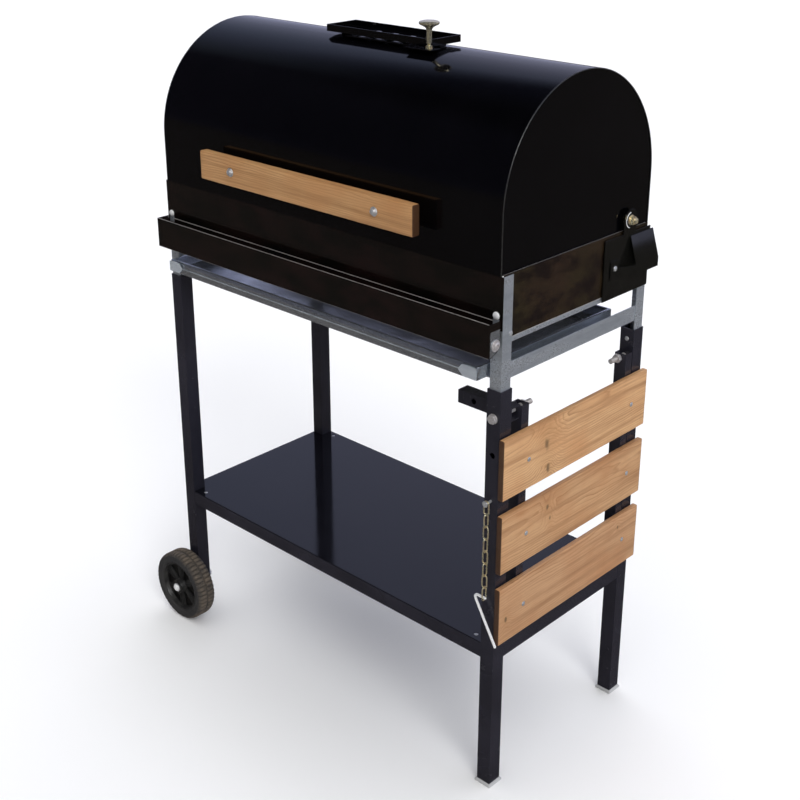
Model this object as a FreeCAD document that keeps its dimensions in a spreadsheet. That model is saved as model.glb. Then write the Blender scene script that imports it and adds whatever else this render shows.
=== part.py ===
import FreeCAD, Part
import math
import os
import re

import Sketcher

# A barrel-lid charcoal trolley grill. Every dimension is in millimetres.
# X runs along the barrel, -Y is the cook's side, +Z is up. Lengths along X are written from the
# middle of the four legs; frame_shift then carries the whole object to the middle of its outer box.

DRIVING_SIZES = {
    # legs, of square tube, with an angle profile telescoped into each
    "frame_shift": 23.5, "leg_face_x": 448, "leg_face_y": 212, "leg_tube": 30, "tube_wall": 1.8,
    "leg_top": 820, "left_leg_foot": 55, "cap_height": 3, "cap_lip": 1, "cap_plug": 12,
    "angle_face_x": 446, "angle_face_y": 210, "angle_width": 25, "angle_sheet": 2,
    "angle_foot": 775, "front_angle_top": 1023.5, "rear_angle_top": 970,
    # shelf
    "shelf_low": 280, "shelf_sheet": 1.5, "shelf_inset": 1, "shelf_screw_x": 395, "shelf_screw_y": 197,
    "shelf_screw": 4.5,
    # fire box
    "panel_sheet": 1.5, "end_panel_x": 442.5, "end_panel_y": 208, "end_panel_low": 913,
    "end_panel_top": 1026, "front_panel_low": 930, "rear_panel_low": 905, "rear_panel_top": 972,
    "ledge_top": 960, "ledge_drop": 15, "front_ledge_depth": 15, "rear_ledge_front": 110,
    "coal_ledge_top": 918, "coal_ledge_width": 15,
    # grates
    "coal_rod": 6, "coal_rod_slack": 0.2, "coal_bar": 10, "coal_let_in": 2, "coal_grate_x": 438,
    "coal_grate_y": 195, "grate_gap": 1, "grate_far_x": 434,
    "grate_front": -205, "grate_rear": 120, "grate_bar": 6, "grate_rod": 5, "grate_rest": 0.3,
    # ash tray and its rails
    "rail_face_x": 444, "rail_sheet": 2, "rail_low": 838, "rail_high": 868, "rail_inner_x": 409,
    "tray_x": 416, "tray_front": -238, "tray_rear": 150, "tray_low": 840.3, "tray_height": 24,
    "tray_sheet": 1.2, "tray_fold": 6,
    # front flap
    "flap_x": 444, "flap_face": -241.5, "flap_rear": -214, "flap_low": 889, "flap_top": 949,
    "flap_pivot_y": -226, "flap_pivot_z": 909, "flap_bolt": 4, "flap_washer": 15,
    "flap_washer_sheet": 1.5, "flap_head": 4, "flap_nut": 5, "flap_heel": 8, "flap_toe": 6,
    "flap_ear_chin": 13, "flap_ear_back": 6,
    "lug_x": 439.5, "lug_front": -234, "lug_low": 900, "lug_top": 945,
    # lid
    "lid_radius": 212, "lid_sheet": 1.5, "lid_x": 441, "lid_centre": 1121, "lid_low": 1024,
    "lid_end_inset": 1.5, "lid_end_gap": 0.1,
    "lid_pivot_y": 146, "lid_pivot_z": 1044, "lid_bolt": 5, "running_gap": 0.05, "side_gap": 0.3,
    "lid_bolt_head": 6, "lid_bolt_nut": 8, "lid_bolt_end": 13, "lid_washer_sheet": 1.6,
    # corners of nuts and heads, washers, bushes and domes, each as a multiple of its bolt
    "nut_share": 1.85, "washer_share": 2.1, "bush_share": 1.7, "dome_share": 1.5,
    # lid handle
    "handle_x": 280, "handle_face": -250, "handle_thick": 18, "handle_low": 1064, "handle_high": 1120,
    "handle_bolt_x": 190, "handle_bolt": 4, "handle_spacer": 9, "handle_edge": 3, "handle_nut_tip": -257,
    "handle_nut": 4, "handle_inner_nut": 5, "handle_bolt_end": 6,
    # vent on top of the lid
    "vent_left": -140, "vent_right": 130, "vent_y": 39, "vent_low": 1338, "vent_high": 1351,
    "vent_sheet": 1.5, "vent_block_x": 14, "vent_block_y": 8, "vent_block_in": 8,
    "slider_x": 84, "slider_y": 44, "slider_low": 1334.4, "slider_sheet": 2,
    "slider_tab_right": 146, "slider_tab_front": -62, "slider_tab_rear": -34,
    "slot_first": -60, "slot_pitch": 44, "slot_width": 18, "slot_y": 28,
    "vent_screw": 4, "vent_screw_head": 2.4, "knob_x": 131, "knob_y": -48, "knob_nut": 6.5,
    "knob_nut_top": 5, "knob_rod": 3, "knob_rod_top": 9, "knob_stem": 5, "knob_neck": 35,
    "knob_cap": 18.5, "knob_rim_low": 45, "knob_rim_high": 48, "knob_top": 49.6,
    # lid hinge brackets and stops
    "bracket_sheet": 2, "bracket_front": 70, "bracket_rear": 212, "bracket_low": 905,
    "bracket_high": 1020, "ear_radius": 20, "stop_low": 944, "stop_high": 962, "stop_tab_high": 978,
    "stop_tab_front": 88, "stop_tab_rear": 112, "stop_bend": 146, "stop_rear": 218,
    "stop_reach": 466, "ramp_top": 1014,
    # folding side table
    "pivot_x": 433, "pivot_z": 768, "pivot_bolt": 5, "pivot_head": 6.5, "pivot_nut": 8,
    "pivot_bolt_end": 26, "lock_drop": 70, "lock_hole": 5.5,
    "arm_left": 425, "arm_right": 450, "arm_low": 330, "arm_high": 778, "arm_width": 20, "arm_wall": 1.5,
    "front_arm_y": -156, "rear_arm_y": 157, "lever_left": 327, "lever_right": 447, "lever_tube": 25,
    "slat_thick": 12, "slat_y": 216.5, "slat_low": 325, "slat_width": 116, "slat_pitch": 147,
    "slat_edge": 2, "slat_screw": 4.5, "slat_screw_head": 1.6,
    # lock pin and its chain
    "chain_x": 433, "chain_y": -224, "chain_z": 610, "stem_radius": 2.5, "stem_room": 2.9,
    "link_wire": 2.6, "link_width": 13, "link_pitch": 24.6, "wire_gap": 0.3,
    "pin_radius": 2.5, "pin_gap": 1.2, "pin_arm": 24, "pin_tip_x": 461, "pin_tip_z": 326,
    # wheels
    "wheel_x": -433, "wheel_radius": 80, "tyre_near": 218, "tyre_far": 264, "rim_radius": 57,
    "hub_near": 215.7, "hub_far": 266, "hub_radius": 17, "axle": 6, "web_near": 238, "web_far": 244,
    "spoke_relief": 3, "recess_low": 5, "recess_high": 10, "recess_half_low": 3.5,
    "recess_half_high": 13, "axle_nut": 8, "axle_end": 12, "axle_washer": 1.2, "axle_head": 8.1,
    "axle_head_height": 4.5,
    # screws on the frame
    "small_screw": 4.5, "small_screw_head": 2.4, "front_bolt_x": 433, "front_bolt_z": 955,
    "front_bolt": 7, "front_bolt_head": 4, "end_screw_y": -189, "end_screw_z": 921,
    "stop_screw_y": 101, "stop_screw_z": 963, "stop_screw": 5, "stop_screw_head": 3,
    "leg_screw_x": 433, "leg_screw_z": 800, "chain_screw": 6, "chain_screw_head": 2.5,
    "chain_stem_end": 4,
}
CHAIN_LINKS = 8
SLATS = 3
VENT_SLOTS = 3
COAL_RODS = 16
GRATE_RODS = 28
SPOKES = 6
SIDES = (("right", 1), ("left", -1))
ROWS = (("front", -1), ("rear", 1))
TURNED_TO = {"X": FreeCAD.Rotation(FreeCAD.Vector(0, 1, 0), 90),
            "Y": FreeCAD.Rotation(FreeCAD.Vector(1, 0, 0), -90),
            "Z": FreeCAD.Rotation()}

document = FreeCAD.newDocument("trolley_grill")
sheet = document.addObject("Spreadsheet::Sheet", "Sizes")
sub_parts = []


def fill_sheet():
    """Write every driving size into its own named cell."""
    for row, (alias, value) in enumerate(DRIVING_SIZES.items(), start=1):
        sheet.set("A%d" % row, alias)
        sheet.set("B%d" % row, str(value))
        sheet.setAlias("B%d" % row, alias)
    document.recompute()


def cells(text):
    """Point each size named in an expression at its cell."""
    def swap(match):
        word = match.group(0)
        return "Sizes." + word if word in DRIVING_SIZES else word
    return re.sub(r"[a-z][a-z_]*", swap, str(text))


def worth(text):
    """Give the number that an expression stands for."""
    names = re.sub(r"[a-z][a-z_]*", lambda match: "{%s}" % match.group(0), str(text))
    figures = {alias: "(%r)" % value for alias, value in DRIVING_SIZES.items()}
    return float(FreeCAD.Units.Quantity(names.format(**figures)).Value)


def mirrored(sign, near, far):
    """Give a span on the positive side, or its mirror image on the negative side."""
    if sign > 0:
        return str(near), str(far)
    return "-(%s)" % far, "-(%s)" % near


def place(item, x, y, z, rotation=FreeCAD.Rotation()):
    """Put an object at a point given by expressions; X is written from the middle of the legs."""
    item.Placement = FreeCAD.Placement(FreeCAD.Vector(0, 0, 0), rotation)
    item.setExpression("Placement.Base.x", cells("(%s) + frame_shift" % x))
    item.setExpression("Placement.Base.y", cells(y))
    item.setExpression("Placement.Base.z", cells(z))
    return item


def block(name, x_span, y_span, z_span):
    """Make a box from its three spans."""
    box = document.addObject("Part::Box", name)
    for side, (low, high) in (("Length", x_span), ("Width", y_span), ("Height", z_span)):
        box.setExpression(side, cells("(%s) - (%s)" % (high, low)))
    return place(box, x_span[0], y_span[0], z_span[0])


def rod(name, axis, start, radius, length):
    """Make a cylinder that runs from its start point along +X, +Y or +Z."""
    cylinder = document.addObject("Part::Cylinder", name)
    cylinder.setExpression("Radius", cells(radius))
    cylinder.setExpression("Height", cells(length))
    return place(cylinder, *start, rotation=TURNED_TO[axis])


def hex_rod(name, axis, start, radius, length):
    """Make a hexagonal prism, as for a nut, that runs along +X, +Y or +Z."""
    prism = document.addObject("Part::Prism", name)
    prism.Polygon = 6
    prism.setExpression("Circumradius", cells(radius))
    prism.setExpression("Height", cells(length))
    return place(prism, *start, rotation=TURNED_TO[axis])


def fuse(name, pieces):
    """Join pieces that meet into one solid."""
    joined = document.addObject("Part::MultiFuse", name)
    joined.Shapes = pieces
    joined.Refine = True
    return joined


def group(name, pieces):
    """Hold pieces together as separate solids."""
    bundle = document.addObject("Part::Compound", name)
    bundle.Links = pieces
    return bundle


def cut(name, base, tools):
    """Take every tool away from the base."""
    result = document.addObject("Part::Cut", name)
    result.Base = base
    result.Tool = tools[0] if len(tools) == 1 else group(name + "_tools", tools)
    return result


def sub_part(item, label):
    """Register a finished piece under the name that its file takes."""
    item.Label = label
    sub_parts.append(item)
    return item


def outline_body(name, plane_role, points, length, place_at=("0", "0", "0")):
    """Pad a closed outline, whose corners are pairs of expressions, away from an origin plane."""
    body = document.addObject("PartDesign::Body", name)
    sketch = outline_sketch(body, name, plane_role, points)
    pad = body.newObject("PartDesign::Pad", name + "_pad")
    pad.Profile = sketch
    pad.setExpression("Length", cells(length))
    sketch.Visibility = False
    return place(body, *place_at)


def outline_sketch(body, name, plane_role, points):
    """Draw a closed outline with every corner held to the origin by two bound distances."""
    sketch = body.newObject("Sketcher::SketchObject", name + "_sketch")
    plane = [item for item in body.Origin.OriginFeatures if item.Role == plane_role][0]
    sketch.AttachmentSupport = [(plane, "")]
    sketch.MapMode = "FlatFace"
    corners = [FreeCAD.Vector(worth(across), worth(up), 0) for across, up in points]
    for index, corner in enumerate(corners):
        sketch.addGeometry(Part.LineSegment(corner, corners[(index + 1) % len(corners)]), False)
    for index in range(len(corners)):
        sketch.addConstraint(Sketcher.Constraint("Coincident", index, 2, (index + 1) % len(corners), 1))
    for index, (point, corner) in enumerate(zip(points, corners)):
        for kind, text, value in (("DistanceX", point[0], corner.x), ("DistanceY", point[1], corner.y)):
            number = sketch.addConstraint(Sketcher.Constraint(kind, -1, 1, index, 1, value))
            sketch.setExpression("Constraints[%d]" % number, cells(text))
    return sketch


def turned_body(name, points, axis="Z"):
    """Turn an outline of (radius, height) pairs about the body's own Z axis into a solid."""
    body = document.addObject("PartDesign::Body", name)
    sketch = outline_sketch(body, name, "XZ_Plane", points)
    turn = body.newObject("PartDesign::Revolution", name + "_turn")
    turn.Profile = sketch
    turn.ReferenceAxis = (sketch, ["V_Axis"])
    turn.Angle = 360
    sketch.Visibility = False
    return body


def square_tube(name, spans, axis, wall):
    """Make a square tube along one axis, open at both ends."""
    outer = block(name + "_outer", *spans)
    inner_spans = []
    for own_axis, (low, high) in zip("XYZ", spans):
        grow = "-1" if own_axis == axis else wall
        inner_spans.append(("(%s) + (%s)" % (low, grow), "(%s) - (%s)" % (high, grow)))
    inner = block(name + "_inner", *inner_spans)
    return cut(name + "_tube", outer, [inner])


# ---- frame -----------------------------------------------------------------------------------

def leg(side, side_sign, row, row_sign):
    """Make one leg tube with the holes that its bolts pass through."""
    name = "leg_%s_%s" % (row, side)
    foot = "cap_height" if side_sign > 0 else "left_leg_foot"
    x_span = mirrored(side_sign, "leg_face_x - leg_tube", "leg_face_x")
    y_span = mirrored(row_sign, "leg_face_y - leg_tube", "leg_face_y")
    tube = square_tube(name, (x_span, y_span, (foot, "leg_top")), "Z", "tube_wall")
    start = "(%s) - 1" % y_span[0]
    drills = []
    if side_sign > 0:
        drills.append(rod(name + "_pivot_drill", "Y", ("pivot_x", start, "pivot_z"), "pivot_bolt",
                          "leg_tube + 2"))
        if row == "front":
            drills.append(rod(name + "_lock_drill", "Y", ("pivot_x", start, "pivot_z - lock_drop"),
                              "lock_hole", "leg_tube + 2"))
    else:
        drills.append(rod(name + "_axle_drill", "Y", ("wheel_x", start, "wheel_radius"), "axle",
                          "leg_tube + 2"))
    sub_part(cut(name + "_drilled", tube, drills), name)


def foot_caps():
    """Make the caps that close the right legs, each a plate with a plug inside the tube."""
    caps = []
    for row, row_sign in ROWS:
        x_span = ("leg_face_x - leg_tube - cap_lip", "leg_face_x + cap_lip")
        y_span = mirrored(row_sign, "leg_face_y - leg_tube - cap_lip", "leg_face_y + cap_lip")
        plate = block("cap_plate_" + row, x_span, y_span, ("0", "cap_height"))
        room = "cap_lip + tube_wall + 0.1"
        plug = block("cap_plug_" + row,
                     ("(%s) + %s" % (x_span[0], room), "(%s) - (%s)" % (x_span[1], room)),
                     ("(%s) + %s" % (y_span[0], room), "(%s) - (%s)" % (y_span[1], room)),
                     ("cap_height", "cap_height + cap_plug"))
        caps.append(fuse("cap_" + row, [plate, plug]))
    sub_part(group("foot_cap_group", caps), "foot_caps")


def leg_angle(side, side_sign, row, row_sign):
    """Make the galvanised angle profile that slides into one leg and carries the fire box."""
    name = "leg_angle_%s_%s" % (row, side)
    top = "front_angle_top" if row == "front" else "rear_angle_top"
    outer = block(name + "_outer",
                  mirrored(side_sign, "angle_face_x - angle_width", "angle_face_x"),
                  mirrored(row_sign, "angle_face_y - angle_width", "angle_face_y"),
                  ("angle_foot", top))
    hollow = block(name + "_hollow",
                   mirrored(side_sign, "angle_face_x - angle_width - 1", "angle_face_x - angle_sheet"),
                   mirrored(row_sign, "angle_face_y - angle_width - 1", "angle_face_y - angle_sheet"),
                   ("angle_foot - 1", "%s + 1" % top))
    sub_part(cut(name + "_profile", outer, [hollow]), name)


def shelf_rails():
    """Make the four tubes that tie the legs together and carry the shelf."""
    z_span = ("shelf_low", "shelf_low + leg_tube")
    for row, row_sign in ROWS:
        spans = (("leg_tube - leg_face_x", "leg_face_x - leg_tube"),
                 mirrored(row_sign, "leg_face_y - leg_tube", "leg_face_y"), z_span)
        sub_part(square_tube("rail_" + row, spans, "X", "tube_wall"), "shelf_rail_" + row)
    for side, side_sign in SIDES:
        spans = (mirrored(side_sign, "leg_face_x - leg_tube", "leg_face_x"),
                 ("leg_tube - leg_face_y", "leg_face_y - leg_tube"), z_span)
        sub_part(square_tube("rail_" + side, spans, "Y", "tube_wall"), "shelf_rail_" + side)


def shelf_screws(name, side_sign):
    """Make the two screw heads at one end of the shelf, or the drills for them, flush with its top."""
    return [rod("%s_%s" % (name, row), "Z",
                ("%d * shelf_screw_x" % side_sign, "%d * shelf_screw_y" % row_sign,
                 "shelf_low + leg_tube"), "shelf_screw", "shelf_sheet") for row, row_sign in ROWS]


def shelf_plate():
    """Make the shelf sheet, notched at each corner round its leg and drilled for its screws."""
    wide, deep = "(leg_face_x - shelf_inset)", "(leg_face_y - shelf_inset)"
    notch_x, notch_y = "(leg_face_x - leg_tube - 0.5)", "(leg_face_y - leg_tube - 0.5)"
    quarter = [(wide, notch_y), (notch_x, notch_y), (notch_x, deep)]
    points = quarter + [("-" + x, y) for x, y in reversed(quarter)]
    points += [("-" + x, "-" + y) for x, y in quarter]
    points += [(x, "-" + y) for x, y in reversed(quarter)]
    plate = outline_body("shelf_sheet_body", "XY_Plane", points, "shelf_sheet",
                         ("0", "0", "shelf_low + leg_tube"))
    drills = []
    for side, side_sign in SIDES:
        drills += shelf_screws("shelf_drill_" + side, side_sign)
    sub_part(cut("shelf_drilled", plate, drills), "shelf_plate")


# ---- fire box --------------------------------------------------------------------------------

def fire_box_panels():
    """Make the end, front and rear panels; the front one carries two lugs for the flap."""
    for side, side_sign in SIDES:
        panel = block("end_sheet_" + side,
                      mirrored(side_sign, "end_panel_x", "end_panel_x + panel_sheet"),
                      ("-end_panel_y", "end_panel_y"), ("end_panel_low", "end_panel_top"))
        sub_part(panel, "end_panel_" + side)
    front = block("front_sheet", ("-angle_face_x", "angle_face_x"),
                  ("-angle_face_y - panel_sheet", "-angle_face_y"),
                  ("front_panel_low", "front_angle_top"))
    pieces = [front]
    for side, side_sign in SIDES:
        lug = block("lug_sheet_" + side, mirrored(side_sign, "lug_x", "lug_x + panel_sheet"),
                    ("lug_front", "-angle_face_y"), ("lug_low", "lug_top"))
        drill = rod("lug_drill_" + side, "X",
                    ("%d * lug_x - 3" % side_sign, "flap_pivot_y", "flap_pivot_z"), "flap_bolt", "6")
        pieces.append(cut("lug_" + side, lug, [drill]))
    sub_part(fuse("front_panel_with_lugs", pieces), "front_panel")
    rear = block("rear_sheet", ("-end_panel_x", "end_panel_x"),
                 ("end_panel_y - panel_sheet", "end_panel_y"), ("rear_panel_low", "rear_panel_top"))
    sub_part(rear, "rear_panel")


def ledge(name, y_wall, y_tip):
    """Make an angle along the barrel whose flat top carries the cooking grates."""
    inward = 1 if worth(y_tip) > worth(y_wall) else -1
    wall_far = "(%s) + (%d * panel_sheet)" % (y_wall, inward)
    ends = ("-end_panel_x", "end_panel_x")
    wall_span = (y_wall, wall_far) if inward > 0 else (wall_far, y_wall)
    top_span = (y_wall, y_tip) if inward > 0 else (y_tip, y_wall)
    upright = block(name + "_upright", ends, wall_span, ("ledge_top - ledge_drop", "ledge_top"))
    top = block(name + "_top", ends, top_span, ("ledge_top - panel_sheet", "ledge_top"))
    sub_part(fuse(name + "_angle", [upright, top]), name)


def coal_supports():
    """Make the two angles on the end panels that carry the charcoal grate."""
    supports = []
    for side, side_sign in SIDES:
        y_span = ("-end_panel_y + 3", "end_panel_y - 3")
        upright = block("coal_upright_" + side,
                        mirrored(side_sign, "end_panel_x - panel_sheet", "end_panel_x"), y_span,
                        ("coal_ledge_top - coal_ledge_width", "coal_ledge_top"))
        top = block("coal_top_" + side,
                    mirrored(side_sign, "end_panel_x - coal_ledge_width", "end_panel_x"), y_span,
                    ("coal_ledge_top - panel_sheet", "coal_ledge_top"))
        supports.append(fuse("coal_support_" + side, [upright, top]))
    sub_part(group("coal_support_pair", supports), "charcoal_supports")


def charcoal_grate():
    """Make the charcoal grate: rods along the barrel let into a bar at each end and the middle."""
    z_span = ("coal_ledge_top", "coal_ledge_top + coal_rod")
    pieces = []
    for number, middle in enumerate(
            ("-coal_grate_x + coal_bar / 2", "0", "coal_grate_x - coal_bar / 2")):
        pieces.append(block("coal_bar_%d" % number,
                            ("(%s) - coal_bar / 2" % middle, "(%s) + coal_bar / 2" % middle),
                            ("-coal_grate_y", "coal_grate_y"), z_span))
    for number in range(COAL_RODS):
        share = "(%d / %d)" % (2 * number + 1, COAL_RODS)
        pieces.append(rod("coal_rod_%d" % number, "X",
                          ("-coal_grate_x + coal_let_in", "coal_grate_y * (%s - 1)" % share,
                           "coal_ledge_top + coal_rod / 2"),
                          "coal_rod / 2 - coal_rod_slack", "2 * (coal_grate_x - coal_let_in)"))
    sub_part(fuse("charcoal_grate_rods", pieces), "charcoal_grate")


def cooking_grate(side, side_sign):
    """Make one half of the cooking grate: a bar frame filled with rods."""
    name = "cooking_grate_" + side
    z_span = ("ledge_top + grate_rest", "ledge_top + grate_rest + grate_bar")
    whole_x = mirrored(side_sign, "grate_gap", "grate_far_x")
    pieces = []
    for row, low in (("front", "grate_front"), ("rear", "grate_rear - grate_bar")):
        pieces.append(block(name + "_" + row, whole_x, (low, "(%s) + grate_bar" % low), z_span))
    for end, near in (("inner", "grate_gap"), ("outer", "grate_far_x - grate_bar")):
        pieces.append(block(name + "_" + end, mirrored(side_sign, near, "%s + grate_bar" % near),
                            ("grate_front", "grate_rear"), z_span))
    for number in range(1, GRATE_RODS):
        middle = "%d * (grate_gap + (grate_far_x - grate_gap) * %d / %d)" % (side_sign, number, GRATE_RODS)
        pieces.append(rod("%s_rod_%d" % (name, number), "Y",
                          (middle, "grate_front + 2", "ledge_top + grate_rest + grate_bar / 2"),
                          "grate_rod / 2", "grate_rear - grate_front - 4"))
    sub_part(fuse(name + "_rods", pieces), name)


def ash_rail(side, side_sign):
    """Make the angle under one end of the fire box that the ash tray runs on."""
    name = "ash_rail_" + side
    y_span = ("-end_panel_y", "end_panel_y")
    upright = block(name + "_upright", mirrored(side_sign, "rail_face_x - rail_sheet", "rail_face_x"),
                    y_span, ("rail_low", "rail_high"))
    foot = block(name + "_foot", mirrored(side_sign, "rail_inner_x", "rail_face_x"), y_span,
                 ("rail_low", "rail_low + rail_sheet"))
    sub_part(fuse(name + "_angle", [upright, foot]), name)


def ash_tray():
    """Make the open ash tray, with a lip folded inwards round its rim."""
    outer = block("tray_outer", ("-tray_x", "tray_x"), ("tray_front", "tray_rear"),
                  ("tray_low", "tray_low + tray_height"))
    inner = block("tray_inner", ("-tray_x + tray_sheet", "tray_x - tray_sheet"),
                  ("tray_front + tray_sheet", "tray_rear - tray_sheet"),
                  ("tray_low + tray_sheet", "tray_low + tray_height - tray_sheet"))
    mouth = block("tray_mouth", ("-tray_x + tray_fold", "tray_x - tray_fold"),
                  ("tray_front + tray_fold", "tray_rear - tray_fold"),
                  ("tray_low + tray_height - tray_sheet - 1", "tray_low + tray_height + 1"))
    room = fuse("tray_room", [inner, mouth])
    sub_part(cut("tray_shell", outer, [room]), "ash_tray")


def front_flap():
    """Make the stoking flap: a long plate with an ear at each end that turns on a bolt."""
    plate = block("flap_plate", ("-flap_x", "flap_x"), ("flap_face", "flap_face + panel_sheet"),
                  ("flap_low", "flap_top"))
    pieces = [plate]
    in_plate = "flap_face + panel_sheet / 2"
    ear_points = [(in_plate, "flap_low"), ("flap_pivot_y - flap_heel", "flap_low"),
                  ("flap_pivot_y + flap_toe", "flap_pivot_z - flap_ear_chin"),
                  ("flap_rear", "flap_pivot_z - flap_ear_back"), ("flap_rear", "flap_top"),
                  (in_plate, "flap_top")]
    for side, side_sign in SIDES:
        low_x = mirrored(side_sign, "flap_x - panel_sheet", "flap_x")[0]
        ear = outline_body("flap_ear_" + side, "YZ_Plane", ear_points, "panel_sheet", (low_x, "0", "0"))
        drill = rod("flap_drill_" + side, "X", ("(%s) - 2" % low_x, "flap_pivot_y", "flap_pivot_z"),
                    "flap_bolt + running_gap", "6")
        pieces.append(cut("flap_end_" + side, ear, [drill]))
    sub_part(fuse("flap_with_ears", pieces), "front_flap")


def flap_pivots():
    """Make the two bolts, with wide washers, that the flap turns on."""
    head_face = "(flap_x + side_gap + flap_washer_sheet)"
    bolts = []
    for side, side_sign in SIDES:
        def turned(piece, near, far, radius, shape=rod):
            low, high = mirrored(side_sign, near, far)
            return shape("flap_%s_%s" % (piece, side), "X", (low, "flap_pivot_y", "flap_pivot_z"),
                         radius, "(%s) - (%s)" % (high, low))
        bolts.append(fuse("flap_bolt_" + side, [
            turned("nut", "lug_x - flap_nut", "lug_x", "flap_bolt * nut_share", hex_rod),
            turned("shank", "lug_x - flap_nut", head_face + " + flap_head / 2", "flap_bolt"),
            turned("washer", "flap_x + side_gap", head_face, "flap_washer"),
            turned("head", head_face, head_face + " + flap_head", "flap_bolt * nut_share", hex_rod)]))
    sub_part(group("flap_bolt_pair", bolts), "flap_pivots")


# ---- lid -------------------------------------------------------------------------------------

def barrel(name, radius, x_low, x_high):
    """Make a solid with upright sides and a half-round top, as deep as the lid."""
    crown = document.addObject("Part::Cylinder", name + "_crown")
    crown.setExpression("Radius", cells(radius))
    crown.setExpression("Height", cells("(%s) - (%s)" % (x_high, x_low)))
    crown.Angle = 180
    up_and_along = FreeCAD.Rotation(FreeCAD.Vector(0, 1, 0), FreeCAD.Vector(0, 0, 1),
                                    FreeCAD.Vector(1, 0, 0), "ZXY")
    place(crown, x_low, "0", "lid_centre", up_and_along)
    sides = block(name + "_sides", (x_low, x_high), ("-(%s)" % radius, radius),
                  ("lid_low", "lid_centre"))
    return fuse(name, [crown, sides])


def vent_slots(name, first, low, high):
    """Make the row of slot cutters that repeat along the vent."""
    cutters = []
    for number in range(VENT_SLOTS):
        middle = "(%s + %d * slot_pitch)" % (first, number)
        cutters.append(block("%s_slot_%d" % (name, number),
                             (middle + " - slot_width / 2", middle + " + slot_width / 2"),
                             ("-slot_y", "slot_y"), (low, high)))
    return cutters


def lid_shell():
    """Make the rolled lid sheet, open below, with vent slots and two handle bolt holes."""
    outer = barrel("lid_outside", "lid_radius", "-lid_x", "lid_x")
    inner = barrel("lid_inside", "lid_radius - lid_sheet", "-lid_x - 1", "lid_x + 1")
    well = block("lid_well", ("-lid_x - 1", "lid_x + 1"),
                 ("lid_sheet - lid_radius", "lid_radius - lid_sheet"), ("lid_low - 1", "lid_low + 1"))
    tools = [fuse("lid_room", [inner, well])]
    tools += vent_slots("lid", "slot_first", "lid_centre + lid_radius - 20", "lid_centre + lid_radius + 5")
    for side, side_sign in SIDES:
        tools.append(rod("lid_handle_drill_" + side, "Y",
                         ("%d * handle_bolt_x" % side_sign, "-lid_radius - 3",
                          "(handle_low + handle_high) / 2"), "handle_bolt", "8"))
    sub_part(cut("lid_rolled_sheet", outer, tools), "lid_skin")


def lid_end(side, side_sign):
    """Make one end of the lid, set in behind the sheet's edge, with the hinge bore."""
    low, high = mirrored(side_sign, "lid_x - lid_end_inset - lid_sheet", "lid_x - lid_end_inset")
    plate = barrel("lid_plate_" + side, "lid_radius - lid_sheet - lid_end_gap", low, high)
    bore = rod("lid_bore_" + side, "X", ("(%s) - 2" % low, "lid_pivot_y", "lid_pivot_z"),
               "lid_bolt + running_gap", "6")
    sub_part(cut("lid_end_plate_" + side, plate, [bore]), "lid_end_" + side)


def lid_handle():
    """Make the wooden handle board, its two tube spacers and its dome-nutted bolts."""
    far = "(handle_face + handle_thick)"
    edge = "handle_edge"
    points = [("handle_face + " + edge, "handle_low"), (far + " - " + edge, "handle_low"),
              (far, "handle_low + " + edge), (far, "handle_high - " + edge),
              (far + " - " + edge, "handle_high"), ("handle_face + " + edge, "handle_high"),
              ("handle_face", "handle_high - " + edge), ("handle_face", "handle_low + " + edge)]
    board = outline_body("handle_plank", "YZ_Plane", points, "2 * handle_x", ("-handle_x", "0", "0"))
    drills, spacers, bolts = [], [], []
    for side, side_sign in SIDES:
        at_x, at_z = "%d * handle_bolt_x" % side_sign, "(handle_low + handle_high) / 2"
        drills.append(rod("handle_drill_" + side, "Y", (at_x, "handle_face - 1", at_z), "handle_bolt",
                          "handle_thick + 2"))
        tube = rod("spacer_tube_" + side, "Y", (at_x, far, at_z), "handle_spacer",
                   "-lid_radius - " + far)
        tube_bore = rod("spacer_bore_" + side, "Y", (at_x, far + " - 1", at_z), "handle_bolt",
                        "-lid_radius - " + far + " + 2")
        spacers.append(cut("spacer_" + side, tube, [tube_bore]))
        inner_end = "lid_sheet - lid_radius"
        shank = rod("handle_shank_" + side, "Y", (at_x, "handle_face - 1", at_z), "handle_bolt",
                    "(%s) + handle_bolt_end - (handle_face - 1)" % inner_end)
        nut = hex_rod("handle_nut_" + side, "Y", (at_x, "handle_face - handle_nut", at_z),
                      "handle_bolt * washer_share", "handle_nut")
        dome = rod("handle_dome_" + side, "Y", (at_x, "handle_nut_tip", at_z),
                   "handle_bolt * dome_share", "handle_face - handle_nut - handle_nut_tip")
        inside_nut = hex_rod("handle_inner_nut_" + side, "Y", (at_x, inner_end, at_z),
                             "handle_bolt * nut_share", "handle_inner_nut")
        bolts.append(fuse("handle_bolt_" + side, [shank, nut, dome, inside_nut]))
    sub_part(cut("handle_plank_drilled", board, drills), "handle_board")
    sub_part(group("handle_spacer_pair", spacers), "handle_spacers")
    sub_part(group("handle_bolt_pair", bolts), "handle_bolts")


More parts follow.
